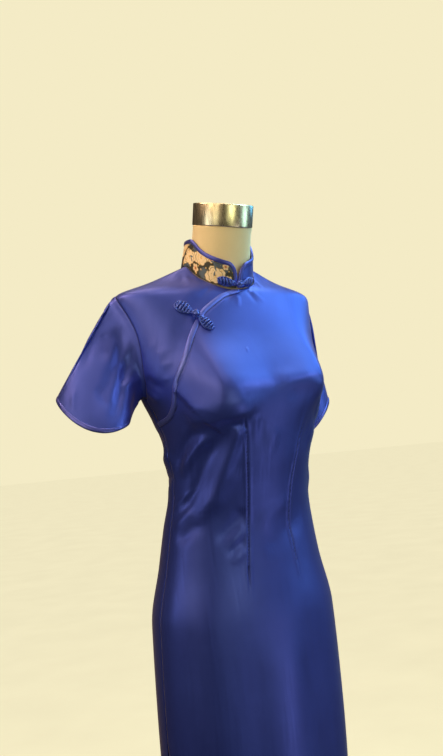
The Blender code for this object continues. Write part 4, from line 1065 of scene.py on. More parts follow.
SLEEVE_CREASES_RIGHT = creases(
    1,
    ([0.067, 0.33, 0.1, 0.41, 0.147, 0.51], -2.2, 6, 8, 0.3, 0.35),
    ([0.114, 0.19, 0.175, 0.28, 0.239, 0.37, 0.306, 0.48], -3, 8.5, 10, 0.25, 0.35),
    ([0.392, 0.05, 0.367, 0.31, 0.314, 0.48, 0.264, 0.6], 2.4, 5, 6, 0.2, 0.35),
    ([0.5, 0.34, 0.444, 0.68, 0.361, 0.87], 1.4, 3.5, 4.5, 0.25, 0.3),
    ([0.06, 0.8, 0.078, 0.87, 0.1, 0.93], 1, 3, 3.5, 0.3, 0.3),
    ([0.02, 0.06, 0.032, 0.17, 0.044, 0.32], 1.2, 5, 6, 0.3, 0.4),
    ([0.03, 0.38, 0.044, 0.53, 0.072, 0.68], -1.8, 6, 7, 0.3, 0.35),
    ([0.145, 0.66, 0.2, 0.72, 0.27, 0.76], -1.2, 6, 7, 0.3, 0.35),
    ([0.62, 0.1, 0.66, 0.32, 0.72, 0.52], -3, 7.5, 9, 0.25, 0.35),
    ([0.7, 0.08, 0.74, 0.26, 0.8, 0.44], 2.2, 6, 8, 0.25, 0.35),
    ([0.86, 0.1, 0.85, 0.32, 0.88, 0.56], -2, 7, 8.5, 0.25, 0.4),
    ([0.545, 0.3, 0.58, 0.58, 0.64, 0.82], 1.4, 4, 5.5, 0.25, 0.3),
)
SLEEVE_CREASES_LEFT = creases(
    1,
    ([0.07, 0.26, 0.11, 0.38, 0.16, 0.5], -2, 6.5, 8, 0.3, 0.35),
    ([0.13, 0.14, 0.19, 0.3, 0.25, 0.46], -2.6, 8, 9.5, 0.25, 0.4),
    ([0.36, 0.06, 0.345, 0.3, 0.3, 0.54], 2.2, 5.5, 7, 0.2, 0.35),
    ([0.47, 0.3, 0.43, 0.6, 0.37, 0.84], 1.3, 4, 5, 0.25, 0.3),
    ([0.02, 0.1, 0.034, 0.3, 0.06, 0.52], -1.4, 6, 7, 0.3, 0.4),
    ([0.64, 0.1, 0.68, 0.34, 0.74, 0.56], -2.8, 8, 9, 0.25, 0.35),
    ([0.73, 0.08, 0.77, 0.28, 0.83, 0.46], 2, 6, 8, 0.25, 0.35),
    ([0.9, 0.12, 0.89, 0.34, 0.91, 0.58], -1.8, 7, 8.5, 0.25, 0.4),
)
SLEEVE_AROUND, SLEEVE_DOWN = 150, 84  # columns and rows
SLEEVE_GIRTH, SLEEVE_LENGTH = 0.36, 0.2  # for the UV map
EASE_EACH_WAY, EASE_RISE = 11, 0.00035  # small gathers round the sleeve's head
SLEEVE_LOW, SLEEVE_HIGH = -0.0045, 0.0060  # how far its cloth may go in or out


def in_mm(*rows):
    return [tuple(value / 1000 for value in row) for row in rows]


# A folded binding: in from the edge, and off the cloth's middle.
BINDING_SECTION = in_mm(
    (7.5, 0.6), (7.3, 1.4), (6.6, 1.9), (4.8, 2.1), (2.8, 2.1), (1, 1.9), (-0.3, 1.4), (-1, 0.6),
    (-1, -0.6), (-0.2, -1.6), (1.4, -2.1), (3.3, -2.2), (5.2, -2), (6.8, -1.6), (7.5, -0.7),
    (4, -0.6), (0.4, -0.6), (0.1, 0), (0.4, 0.6), (4, 0.6),
)


def make_sleeve(side_name, cuff, folds, creases):
    sleeve = Sleeve(cuff, folds)
    turn = np.arange(SLEEVE_AROUND)[None, :] / SLEEVE_AROUND
    way = np.linspace(0, 1, SLEEVE_DOWN)[:, None]
    turn, way = np.broadcast_arrays(turn, 0.25 * way**3 + 0.75 * way)
    plain = sleeve.point(turn, way)
    out = sleeve.normal(sleeve.point, turn, way)
    lift = crease_lift(plain, sleeve.point, creases)
    under_seam = sleeve.point(np.full(60, 0.5), np.linspace(0, 1, 60))
    # painted shade along the armhole seam and the underarm seam
    dip, shade = seam_dip(plain, [sleeve.rim, under_seam])
    chance = np.random.default_rng(17 + cuff.side)
    gathers = np.arange(-EASE_EACH_WAY, EASE_EACH_WAY + 1)
    gathers = gathers * 0.016 + chance.uniform(-0.004, 0.004, len(gathers))
    ease = sum(
        chance.uniform(0.4, 1.0) * bell(np.mod(turn - at + 0.5, 1) - 0.5, 0.007) for at in gathers
    )
    lift += EASE_RISE * ease * bell(way - 0.045, 0.028)
    points = plain + out * (np.clip(lift, SLEEVE_LOW, SLEEVE_HIGH) + dip)[..., None]
    uv = np.stack([turn * SLEEVE_GIRTH, way * SLEEVE_LENGTH], axis=-1)
    cloth = cloth_shell("sleeve_" + side_name + "_cloth", points, out, uv, [BLUE], shade, ring=True)
    dress(cloth, "sleeve_" + side_name)

    edge, above = points[-1], points[-6]
    up = unit(above - edge)
    side_out = unit(out[-1] - up * (out[-1] * up).sum(-1, keepdims=True))
    middle = edge - side_out * CLOTH / 2
    chance = np.random.default_rng(5)
    wave = sum(np.sin(2 * math.pi * k * turn[-1] + chance.uniform(0, 6)) for k in (9, 14, 23)) * 0.00008
    sections = [
        middle + up * along + side_out * (off + wave * np.sign(off))[:, None]
        for along, off in BINDING_SECTION
    ]
    sections = np.stack(sections, axis=1)
    band = swept("sleeve_binding_" + side_name + "_cloth", sections, [SHADED_TRIM], ring=True)
    return cloth, dress(band, "sleeve_binding_" + side_name)


sleeve_right, band_right = make_sleeve("right", CUFF_RIGHT, FOLDS_RIGHT, SLEEVE_CREASES_RIGHT)
sleeve_left, band_left = make_sleeve("left", CUFF_LEFT, FOLDS_LEFT, SLEEVE_CREASES_LEFT)

# ---------------------------------------------------------------- opening binding

# In from the edge, and off the body's face.
OPENING_SECTION = in_mm(
    (7.8, -0.2), (7.7, 0.8), (7.1, 1.3), (5.4, 1.5), (3, 1.6), (1.1, 1.5), (-0.3, 1.1), (-1.3, 0.3),
    (-1.5, -0.6), (-1.1, -1.6), (0.4, -1.9), (3.6, -1.9), (7, -1.8), (7, -1.3), (3, -1.3),
    (0.1, -1.1), (0, -0.5), (0.3, 0.1), (4, 0.1),
)
edge_stations = opening_run[: -int(FINE * (1 - BINDING_END)) or None]
_, _, to_left = frame_on(edge_stations)
sections = []
for along, off in OPENING_SECTION:
    place = shifted(edge_stations, -to_left * along)
    plain = on_skin(place)
    lift = np.clip(relief(plain)[0], FLOAT_LOW, FLOAT_HIGH)
    sections.append(plain + out_of_skin(place) * (off + lift)[:, None])
opening_band = swept("opening_binding_cloth", np.stack(sections, axis=1), [TRIM])
dress(opening_band, "opening_binding")

# ---------------------------------------------------------------- collar

BLOSSOMS = [  # along the collar, up, size, kind and turn
    (0.016, 0.012, 0.0075, "plum", 0.3), (0.024, 0.033, 0.0065, "plum", 1.1),
    (0.041, 0.014, 0.016, "peony", 0.9), (0.053, 0.038, 0.007, "plum", 1.9),
    (0.074, 0.033, 0.0155, "peony", 2.2), (0.083, 0.01, 0.008, "plum", 0.7),
    (0.104, 0.018, 0.015, "peony", 0.1), (0.112, 0.043, 0.007, "plum", 0.4),
    (0.132, 0.032, 0.015, "peony", 1.2), (0.15, 0.01, 0.0085, "plum", 2.6),
    (0.166, 0.034, 0.015, "peony", 0.5), (0.181, 0.013, 0.012, "plum", 1.5),
    (0.2, 0.034, 0.014, "peony", 2.9), (0.207, 0.008, 0.0075, "plum", 0.2),
]
# A peony is three smaller heads round a large one: aside, up and size, in its own size.
PEONY_PARTS = [(-0.60, 0.34, 0.56), (0.62, -0.30, 0.60), (0.42, 0.50, 0.44), (0.0, 0.0, 0.86)]
DOTS, SMALL_BLOSSOMS, LEAVES = 90, 46, 22
CLOTH_LENGTH = 0.21
BLOCKS = [  # steel-blue cloud shapes behind the flowers: along, up, length and height
    (0.006, 0.036, 0.013, 0.009), (0.033, 0.028, 0.013, 0.011), (0.062, 0.01, 0.01, 0.009),
    (0.086, 0.038, 0.011, 0.008), (0.11, 0.008, 0.012, 0.008), (0.134, 0.043, 0.01, 0.007),
    (0.158, 0.036, 0.011, 0.009), (0.182, 0.008, 0.012, 0.008), (0.205, 0.028, 0.011, 0.01),
]


def brocade(u, h):
    """The colours of the flowered brocade, drawn by formula over the collar's own sizes, in metres."""
    ground, steel = np.array([0.026, 0.028, 0.044]), np.array([0.090, 0.140, 0.260])
    cream, rose = np.array([1.00, 0.84, 0.70]), np.array([0.55, 0.30, 0.26])
    gold, orange = np.array([0.50, 0.33, 0.10]), np.array([0.52, 0.20, 0.05])
    colour = np.broadcast_to(ground, u.shape + (3,)).copy()
    shine = np.zeros(u.shape)

    def lay(mask, tone):
        nonlocal colour
        part = np.clip(mask, 0, 1)[..., None]
        colour = colour * (1 - part) + np.asarray(tone) * part

    for at, up, length, tall in BLOCKS:
        turn = np.arctan2((h - up) / tall, (u - at) / length)
        far = np.hypot((u - at) / length, (h - up) / tall)
        lobes = 1 + 0.16 * np.abs(np.sin(3.5 * turn))
        lay((lobes - far) / 0.07, steel)
        lay(1 - np.abs(lobes * 0.78 - far) / 0.05, ground * 1.4)
        shine = np.maximum(shine, np.clip((lobes - far) / 0.07, 0, 1))
    for at, up, size, kind, spin in BLOSSOMS:
        turn, far = np.arctan2(h - up, u - at) + spin, np.hypot(u - at, h - up) / size
        if kind == "plum":
            petal = 0.62 + 0.38 * np.abs(np.cos(2.5 * turn)) ** 0.7
            lay((petal * 1.06 - far) / 0.05, gold * 0.8)
            lay((petal * 0.94 - far) / 0.07, cream * 0.92)
            lay((0.52 - far) / 0.24, rose * 1.5)
            lay((0.27 - far) / 0.06, orange)
            lay(1 - np.abs(far - 0.42 - 0.03 * np.cos(15 * turn)) / 0.035, gold)
        else:
            for side, rise, share in PEONY_PARTS:
                x, y = u - at - side * size, h - up - rise * size
                here, gap = np.arctan2(y, x) + spin, np.hypot(x, y) / size
                lobes = share * (0.84 + 0.16 * np.abs(np.cos(3.5 * here)) ** 0.6)
                lay((lobes + 0.035 - gap) / 0.03, gold * 0.5)
                lay((lobes - gap) / 0.07, cream)
                lay(0.7 - np.abs(gap - 0.60 * lobes) / 0.045, cream * 0.74)
                lay((0.13 - gap) / 0.05, gold * 1.3)
        shine = np.maximum(shine, np.clip((1 - far) / 0.1, 0, 1))
    chance = np.random.default_rng(29)
    for _ in range(DOTS):
        at, up = chance.uniform(0.0, CLOTH_LENGTH), chance.uniform(0.002, 0.049)
        lay((0.0008 - np.hypot(u - at, h - up)) / 0.0003, gold)
    for _ in range(SMALL_BLOSSOMS):
        at, up = chance.uniform(0.0, CLOTH_LENGTH), chance.uniform(0.003, 0.046)
        size = chance.uniform(0.0013, 0.0026)
        turn, far = np.arctan2(h - up, u - at), np.hypot(u - at, h - up) / size
        lay((0.75 + 0.25 * np.cos(5 * turn) - far) / 0.15, gold * 1.5 + cream * 0.15)
    for _ in range(LEAVES):
        at, up = chance.uniform(0.0, CLOTH_LENGTH), chance.uniform(0.004, 0.046)
        lean = chance.uniform(0, math.pi)
        s, c = math.sin(lean), math.cos(lean)
        x, y = (u - at) * c + (h - up) * s, (h - up) * c - (u - at) * s
        leaf = 1 - np.abs(y) / (0.0016 * np.clip(1 - (x / 0.0052) ** 2, 0.001, 1))
        lay(np.where(np.abs(x) < 0.0052, leaf / 0.3, 0), steel * 1.25)
    return np.clip(colour, 0, 1), shine


def brocade_cloth():
    paint = Paint(
        "flowered_brocade_cloth",
        (0.1, 0.13, 0.19),
        0.42,
        **{
            "Specular IOR Level": 0.55,
            "Sheen Weight": 0.12,
            "Sheen Roughness": 0.4,
            "Sheen Tint": (0.8, 0.8, 0.9, 1.0),
        },
    )
    pattern = paint.add("ShaderNodeAttribute", attribute_name="pattern")
    threads = paint.noise(1.0, 2.0, 0.6, "UV", (1500.0, 260.0, 1.0))
    woven = paint.ramp(threads, 0.0, 0.55, 0.25, 0.80)
    paint.colour(paint.mix(woven, pattern.outputs["Color"], (0.16, 0.16, 0.18), "SOFT_LIGHT"))
    paint.gloss(paint.ramp(threads, 0.34, 0.56, 0.3, 0.7))
    raised = paint.add("ShaderNodeAttribute", attribute_name="raised")
    lifted = paint.bump(raised.outputs["Fac"], 0.5, 0.0003)
    paint.facing(paint.bump(threads, 0.30, 0.00010, lifted))
    return paint.material


def plain_lining():
    paint = Paint("navy_collar_lining", (0.012, 0.016, 0.075), 0.45, **{"Sheen Weight": 0.1})
    threads = paint.noise(1.0, 2.0, 0.6, "UV", (900.0, 300.0, 1.0))
    woven = paint.ramp(threads, 0.0, 1.0, 0.3, 0.7)
    paint.colour(paint.mix(woven, (0.010, 0.013, 0.062), (0.018, 0.024, 0.105)))
    paint.facing(paint.bump(threads, 0.25, 0.0001))
    return paint.material


BROCADE, LINING = brocade_cloth(), plain_lining()
RIM_FOOT = (0.0078, 0.0080)  # where the binding ends, from the front edge and from the top
FOOT_SHADE_WIDTH = 0.0009  # how wide the painted shade along the collar's lower seam is
BUCKLE_RISE, BUCKLES = 0.0007, 2.1  # how high the collar buckles, and how often in its length
# The collar's binding is narrower and flatter than the sleeves'.
COLLAR_SECTION = [(0.88 * along, 0.80 * off) for along, off in BINDING_SECTION]


def collar_lift(collar, u):
    """Soft buckles round the stand of the collar."""
    share = u / collar.length
    wave = np.sin(2 * math.pi * BUCKLES * share + collar.side)
    return BUCKLE_RISE * wave * smooth_step(share / 0.25)


def make_collar(side_name, side, material, columns, rows):
    collar = Collar(side)
    corner = COLLAR_CORNER[0]
    first = corner * (1 - np.cos(np.linspace(0, math.pi / 2, columns // 7)))
    u = np.concatenate([first, np.linspace(corner, collar.length, columns - len(first) + 1)[1:]])
    top = collar.height(u)
    h = np.linspace(0, 1, rows)[:, None] * top
    u_grid = np.broadcast_to(u, h.shape)
    points = collar.point(u_grid, h, collar_lift(collar, u_grid))
    out = collar.point(u_grid, h, 1.0) - collar.point(u_grid, h, 0.0)
    uv = np.stack([u_grid, h], axis=-1)
    # painted shade along the collar's lower seam and in the ditch at the inner edge of its binding
    foot = bell(h, FOOT_SHADE_WIDTH)
    tip = bell(np.minimum(u_grid - RIM_FOOT[0], top - h - RIM_FOOT[1]), SEAM_SHADE_WIDTH)
    name = "collar_" + side_name
    shade = np.maximum(foot, tip) * 0.8
    cloth = cloth_shell(name + "_cloth", points, out, uv, [material, LINING], shade, COLLAR_WALL)
    cloth_mesh = cloth.data
    if material is BROCADE:
        corner_uv = np.zeros(2 * len(cloth_mesh.loops), np.float32)
        cloth_mesh.uv_layers[0].data.foreach_get("uv", corner_uv)
        of_vertex = np.zeros(len(cloth_mesh.loops), np.int32)
        cloth_mesh.loops.foreach_get("vertex_index", of_vertex)
        place = np.zeros((len(cloth_mesh.vertices), 2))
        place[of_vertex] = corner_uv.reshape(-1, 2)
        colour, shine = brocade(place[:, 0], place[:, 1])
        colour = np.column_stack([colour, np.ones(len(colour))])
        tint = cloth_mesh.color_attributes.new("pattern", "FLOAT_COLOR", "POINT")
        tint.data.foreach_set("color", colour.astype(np.float32).ravel())
        raised = cloth_mesh.attributes.new("raised", "FLOAT", "POINT")
        raised.data.foreach_set("value", shine.astype(np.float32))
    dress(cloth, name)

    path_u = np.concatenate([first, np.linspace(corner, collar.length, 150)[1:]])
    path = np.stack([path_u, collar.height(path_u)], axis=-1)
    front_edge = np.linspace(COLLAR_BINDING_START, path[0, 1], 7)[:-1]
    path = np.vstack([np.column_stack([np.zeros(6), front_edge]), path])
    ahead = unit(np.gradient(path, axis=0))
    inward = np.stack([ahead[:, 1], -ahead[:, 0]], axis=-1)
    inward[0], inward[-1] = (1, 0), (0, -1)
    sections = []
    for along, off in COLLAR_SECTION:
        place = path + inward * along
        wall = off + (COLLAR_WALL - CLOTH) / 2 * np.sign(off) - COLLAR_WALL / 2
        sections.append(collar.point(place[:, 0], place[:, 1], wall + collar_lift(collar, place[:, 0])))
    band = swept("collar_binding_" + side_name + "_cloth", np.stack(sections, axis=1), [SHADED_TRIM])
    return cloth, dress(band, "collar_binding_" + side_name)


collar_right, rim_right = make_collar("right", -1, BROCADE, 330, 72)
collar_left, rim_left = make_collar("left", 1, BLUE, 120, 26)

# ---------------------------------------------------------------- frog closures

CORD_RADIUS = 0.00155
KNOT_LOBES, KNOT_TURNS = 4, 3  # how often the plait swings up and how often it goes round
RIM_REACH = 0.955  # how far along the leaf its rim cord runs
LEAF_TURNS = 5  # how often the wound cord goes round
WOUND_START, WOUND_REACH = 0.0040, 0.90  # where it starts, and how far along the leaf it ends
WOUND_SLANT, WOUND_ACROSS = 0.0026, 0.86  # how slantwise and how wide it lies
LEAF_DOME = 0.0034  # how high a leaf is padded
LEAF_WIDER = 1.18  # how much wider the corded leaf is than its solid
KNOT_CORE_IN = 0.0016  # how far the filled core lies inside the plait's face
KNOT_OVER = 0.0014  # how much the plaited cord stands out over the solid knot


def tube(name, runs, radius, cyclic=False):
    """Round cords along runs of points, as one mesh."""
    curve = bpy.data.curves.new(name, "CURVE")
    curve.dimensions = "3D"
    curve.bevel_depth = radius
    curve.bevel_resolution = 4
    curve.use_fill_caps = not cyclic
    for run in runs:
        spline = curve.splines.new("POLY")
        spline.points.add(len(run) - 1)
        spline.points.foreach_set("co", np.column_stack([run, np.ones(len(run))]).ravel())
        spline.use_cyclic_u = cyclic
    obj = bpy.data.objects.new(name, curve)
    bpy.context.scene.collection.objects.link(obj)
    alone(obj)
    bpy.ops.object.convert(target="MESH")
    obj.select_set(False)
    obj.data.materials.append(CORD)
    obj.data.polygons.foreach_set("use_smooth", [True] * len(obj.data.polygons))
    return obj


def make_leaf(node, place, solid_spread, lift):
    """A padded leaf: one cord round its edge, and the same cord wound slantwise over the padding."""
    spread = LEAF_WIDER * solid_spread

    def half_width(along):
        share = np.clip(along / LEAF_LENGTH, 0, 1)
        return (spread - CORD_RADIUS) * np.sin(math.pi * share**1.25) ** 0.75 + LEAF_NECK * 0.5

    def off_cloth(along, rise):
        near = smooth_step(1 - along / (LEAF_LENGTH * 0.55))
        return LEAF_CLEAR + CORD_RADIUS * 0.8 + lift * near + rise

    phase = np.linspace(0, 2 * math.pi, 73)
    along = RIM_REACH * LEAF_LENGTH * (1 - np.cos(phase)) / 2 - 0.0010
    across = np.sign(np.sin(phase)) * half_width(along) * np.minimum(1, np.abs(np.sin(phase)) * 3)
    runs = [place(along, across, off_cloth(along, 0.0))]
    turn = np.linspace(0, 2 * math.pi * LEAF_TURNS, 40 * LEAF_TURNS + 1)
    wound_along = WOUND_START + (LEAF_LENGTH * WOUND_REACH - WOUND_START) * turn / turn[-1]
    along = wound_along + WOUND_SLANT * np.cos(turn)
    across = WOUND_ACROSS * half_width(along) * np.cos(turn)
    rise = (LEAF_DOME * (half_width(along) / spread) + 0.0004) * np.maximum(np.sin(turn), 0) ** 0.8
    wound = place(along, across, off_cloth(along, rise))
    return dress(tube(node + "_cord", runs + [wound], CORD_RADIUS), node)


def make_knot(node, centre, axis):
    """A ball knot: one cord plaited round a sphere, over a filled core."""
    turn = np.linspace(0, 2 * math.pi, 181)[:-1]
    around, up = KNOT_TURNS * turn, math.radians(54) * np.cos(KNOT_LOBES * turn)
    radius = KNOT_RADIUS - CORD_RADIUS + KNOT_OVER + 0.00050 * np.sin(2 * KNOT_LOBES * turn)
    level = np.cos(up)
    ball = np.column_stack([level * np.cos(around), level * np.sin(around), np.sin(up)])
    ball = ball * radius[:, None]
    spin = np.array(Vector((0, 0, 1)).rotation_difference(Vector(axis)).to_matrix())
    cord = tube(node + "_cord", [ball @ spin.T + np.array(centre)], CORD_RADIUS, cyclic=True)
    core_radius = KNOT_RADIUS + KNOT_OVER - KNOT_CORE_IN
    bpy.ops.mesh.primitive_uv_sphere_add(
        segments=24, ring_count=14, radius=core_radius, location=tuple(centre)
    )
    core = bpy.context.object
    core.data.polygons.foreach_set("use_smooth", [True] * len(core.data.polygons))
    core.data.materials.append(CORD)
    bpy.ops.object.select_all(action="DESELECT")
    core.select_set(True)
    cord.select_set(True)
    bpy.context.view_layer.objects.active = core
    bpy.ops.object.transform_apply(location=True, rotation=True, scale=True)
    bpy.context.view_layer.objects.active = cord
    bpy.ops.object.join()
    bpy.ops.object.select_all(action="DESELECT")
    return dress(cord, node)


right_half = Collar(-1)


def on_collar(half):
    def place(along, across, off):
        return half.point(COLLAR_FROG_START + along, COLLAR_FROG_HEIGHT + across, off)

    return place


make_leaf("frog_collar_leaf_right", on_collar(right_half), COLLAR_LEAF_SPREAD, BINDING_LIFT)
make_leaf("frog_collar_leaf_left", on_collar(Collar(1)), COLLAR_LEAF_SPREAD, BINDING_LIFT)
knot_back = right_half.point(0.0, COLLAR_FROG_HEIGHT)
knot_front = right_half.point(0.0, COLLAR_FROG_HEIGHT, 1.0) - knot_back
collar_knot = knot_back * np.array([0, 1, 1]) + knot_front * np.array([0, 1, 1]) * KNOT_RISE
make_knot("frog_collar_knot", collar_knot, (0.0, 0.0, 1.0))

knot_station = np.array([math.radians(CHEST_FROG.angle), CHEST_FROG.height])
frog_axis = unit(np.array(CHEST_FROG_AXIS))
knot_skin, knot_normal = skin(*knot_station), skin_normal(*knot_station)
frog_axis = unit(frog_axis - knot_normal * (frog_axis @ knot_normal))
frog_side = np.cross(knot_normal, frog_axis)


def on_chest(direction):
    def place(along, across, off):
        vectors = frog_axis * direction * (CHEST_FROG_START + along)[:, None]
        vectors = vectors + frog_side * across[:, None]
        stations = shifted(np.broadcast_to(knot_station, (len(along), 2)), vectors)
        return on_skin(stations) + out_of_skin(stations) * off[:, None]

    return place


make_leaf("frog_chest_leaf_upper", on_chest(-1), CHEST_LEAF_SPREAD, 0.0)
make_leaf("frog_chest_leaf_lower", on_chest(1), CHEST_LEAF_SPREAD, BINDING_LIFT)
make_knot("frog_chest_knot", knot_skin + knot_normal * KNOT_RISE, tuple(frog_side))

# ---------------------------------------------------------------- the form


def form_cover():
    soft = {"Sheen Weight": 0.25, "Sheen Roughness": 0.5}
    paint = Paint("form_jersey", (0.96, 0.84, 0.66), 0.82, **soft)
    knit = paint.noise(1.0, 2.0, 0.6, "UV", (900.0, 1400.0, 1.0))
    worn = paint.noise(14.0, 4.0)
    tone = paint.mix(paint.ramp(worn, 0.0, 1.0, 0.3, 0.7), (0.90, 0.78, 0.60), (0.96, 0.86, 0.69))
    paint.colour(paint.mix(paint.ramp(knit, 0.0, 0.30, 0.3, 0.8), tone, (0.62, 0.47, 0.30)))
    paint.facing(paint.bump(knit, 0.5, 0.00025))
    return paint.material


def fine_levels(levels, step):
    made = []
    for a, b in zip(levels[:-1], levels[1:]):
        count = max(1, int(round((b - a) / step)))
        made += list(np.linspace(a, b, count, endpoint=False))
    return made + [levels[-1]]


body_levels = fine_levels(FORM_LEVELS, 0.006)
neck_levels = fine_levels(NECK_HEIGHTS, 0.002)[1:]
rings = [form_ring(height, 0.0) for height in body_levels]
for height in neck_levels:
    rings.append(form_ring(height, float(np.interp(height, NECK_HEIGHTS, NECK_TILTS))))
form = np.stack(rings)
FORM_WRINKLES = [  # degrees round the neck, height, rise and how wide and tall
    (52.0, 1.452, 0.0011, 4.0, 0.0050),
    (60.0, 1.445, -0.0009, 3.5, 0.0060),
    (66.0, 1.455, 0.0010, 3.0, 0.0045),
    (30.0, 1.456, 0.0006, 5.0, 0.0030),
    (-20.0, 1.457, 0.0005, 6.0, 0.0030),
    (-64.0, 1.454, 0.0006, 4.0, 0.0040),
    (150.0, 1.452, 0.0008, 5.0, 0.0045),
    (215.0, 1.455, 0.0008, 5.0, 0.0040),
]
round_form = np.degrees(np.arange(FORM_COLUMNS) * 2 * math.pi / FORM_COLUMNS)
middle = form.mean(axis=1, keepdims=True)
outward = unit((form - middle) * np.array([1, 1, 0]))
swell = np.zeros(form.shape[:2])
for at, height, rise, wide, tall in FORM_WRINKLES:
    apart = np.mod(round_form - at + 180, 360) - 180
    swell += rise * bell(apart[None], wide) * bell(form[..., 2] - height, tall)
form = form + outward * swell[..., None]
form_uv = np.radians(round_form)[None] * 0.12, travelled(form[:, 0])[:, None]
torso = swept("form_body_cover", form, [form_cover()], uv=form_uv)
dress(torso, "form_body")

# ---------------------------------------------------------------- neck cap and stand


def steel(name, colour, low, high, stretch, streaks=None, spotted=0.78):
    """Brushed steel between two roughnesses, with soft spots and, on the cap, dark streaks painted in as
    reflections.
    """
    paint = Paint(name, colour, (low + high) / 2, Metallic=1.0)
    brushed = paint.noise(1.0, 3.0, 0.6, "Object", stretch)
    spots = paint.noise(60.0, 5.0, 0.65)
    paint.gloss(paint.ramp(brushed, low, high, 0.3, 0.7))
    darker = tuple(spotted * value for value in colour)
    tone = paint.mix(paint.ramp(spots, 0.0, 0.5, 0.56, 0.75), colour, darker)
    if streaks:
        # On the cap: painted reflection, dark vertical bands in the steel's colour.
        painted_reflection_bands = paint.noise(1.0, 2.0, 0.5, "Object", streaks)
        reflection_band_dark = tuple(0.60 * value for value in colour)
        tone = paint.mix(paint.ramp(painted_reflection_bands, 0.75, 0.0, 0.36, 0.56), tone, reflection_band_dark)
    paint.colour(tone)
    paint.facing(paint.bump(brushed, 0.05, 0.00004))
    return paint.material


# the last stretch lays the cap's painted reflection bands
CAP_STEEL = steel(
    "cap_steel", (0.95, 0.88, 0.82), 0.25, 0.33, (700.0, 700.0, 6.0), (240.0, 240.0, 1.0), 0.88
)
STAND_STEEL = steel("stand_steel", (0.66, 0.65, 0.64), 0.14, 0.26, (700.0, 700.0, 30.0))
BASE_STEEL = steel("base_steel", (0.60, 0.59, 0.58), 0.27, 0.30, (40.0, 40.0, 40.0), None, 0.95)


def enamel():
    paint = Paint("stand_enamel_coat", (0.045, 0.045, 0.05), 0.38, **{"Coat Weight": 0.3})
    peel = paint.noise(420.0, 3.0)
    worn = paint.noise(35.0, 5.0, 0.7)
    rubbed = paint.ramp(worn, 0.0, 1.0, 0.60, 0.72)
    paint.colour(paint.mix(rubbed, (0.042, 0.042, 0.046), (0.10, 0.10, 0.10)))
    paint.gloss(paint.ramp(worn, 0.32, 0.5, 0.3, 0.7))
    paint.facing(paint.bump(peel, 0.05, 0.00005))
    return paint.material


cap_axis = Vector((0.0, -NECK_LEAN, 1.0)).normalized()
lean = Vector((0, 0, 1)).rotation_difference(cap_axis)
seat = Vector(tuple(rings[-1].mean(axis=0))) + cap_axis * CAP_CLEAR
bpy.ops.mesh.primitive_cylinder_add(
    vertices=96,
    radius=CAP_RADIUS,
    depth=CAP_HEIGHT,
    location=seat + cap_axis * CAP_HEIGHT / 2,
    rotation=lean.to_euler(),
)
cap = bpy.context.object
cap.name = cap.data.name = "neck_cap_steel"
bpy.ops.object.transform_apply(location=True, rotation=True, scale=True)
bpy.ops.object.mode_set(mode="EDIT")
bpy.ops.mesh.select_mode(type="FACE")
bpy.ops.mesh.select_all(action="DESELECT")
bpy.ops.object.mode_set(mode="OBJECT")
for face in cap.data.polygons:
    face.select = len(face.vertices) > 4 and face.normal.dot(cap_axis) > 0.9
bpy.ops.object.mode_set(mode="EDIT")
for inwards, sunk in ((0.0045, 0.0), (0.0012, -0.0009), (0.0300, 0.0), (0.0080, -0.0003)):
    bpy.ops.mesh.inset(thickness=inwards, depth=sunk)
bpy.ops.object.mode_set(mode="OBJECT")
rounded = cap.modifiers.new("Edges", "BEVEL")
rounded.width, rounded.segments, rounded.limit_method = 0.0016, 4, "ANGLE"
rounded.angle_limit = math.radians(40)
bpy.ops.object.modifier_apply(modifier=rounded.name)
bpy.ops.object.shade_smooth_by_angle(angle=math.radians(32))
cap.data.materials.append(CAP_STEEL)
cap.select_set(False)
dress(cap, "neck_cap")

for node, material in (
    ("pole", STAND_STEEL),
    ("pole_socket", STAND_STEEL),
    ("base", BASE_STEEL),
    ("form_flange", enamel()),
):
    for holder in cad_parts[node].material_slots:
        holder.material = material


# ---------------------------------------------------------------- floor, light and camera

CREAM = (0.905, 0.831, 0.564)
FLOOR_SIZE = 60.0
YAW, PITCH, ROLL, ASIDE = (math.radians(turn) for turn in (33.0, -3.4, -4.7, -0.5))
CAMERA_DISTANCE, EYE = 1.7, 1.093  # from the pole's axis, and up
VIEW_HEIGHT, LENS = 36.0, 958.8 / 756 * 36.0  # both in mm

bpy.ops.mesh.primitive_plane_add(size=FLOOR_SIZE, location=(0.0, 0.0, 0.0))
floor = bpy.context.object
floor.name = floor.data.name = "studio_floor"
ground = Paint("pale_floor", (0.20, 0.185, 0.13), 0.95, **{"Specular IOR Level": 0.0})
speckle = ground.noise(3.0, 3.0)
pale = tuple(0.955 * value for value in CREAM)
tone = ground.mix(ground.ramp(speckle, 0.0, 1.0, 0.3, 0.7), pale, CREAM)
ground.join(tone, ground.shader.inputs["Emission Color"])
ground.shader.inputs["Emission Strength"].default_value = 0.97
floor.data.materials.append(ground.material)
floor.visible_diffuse = floor.visible_glossy = False

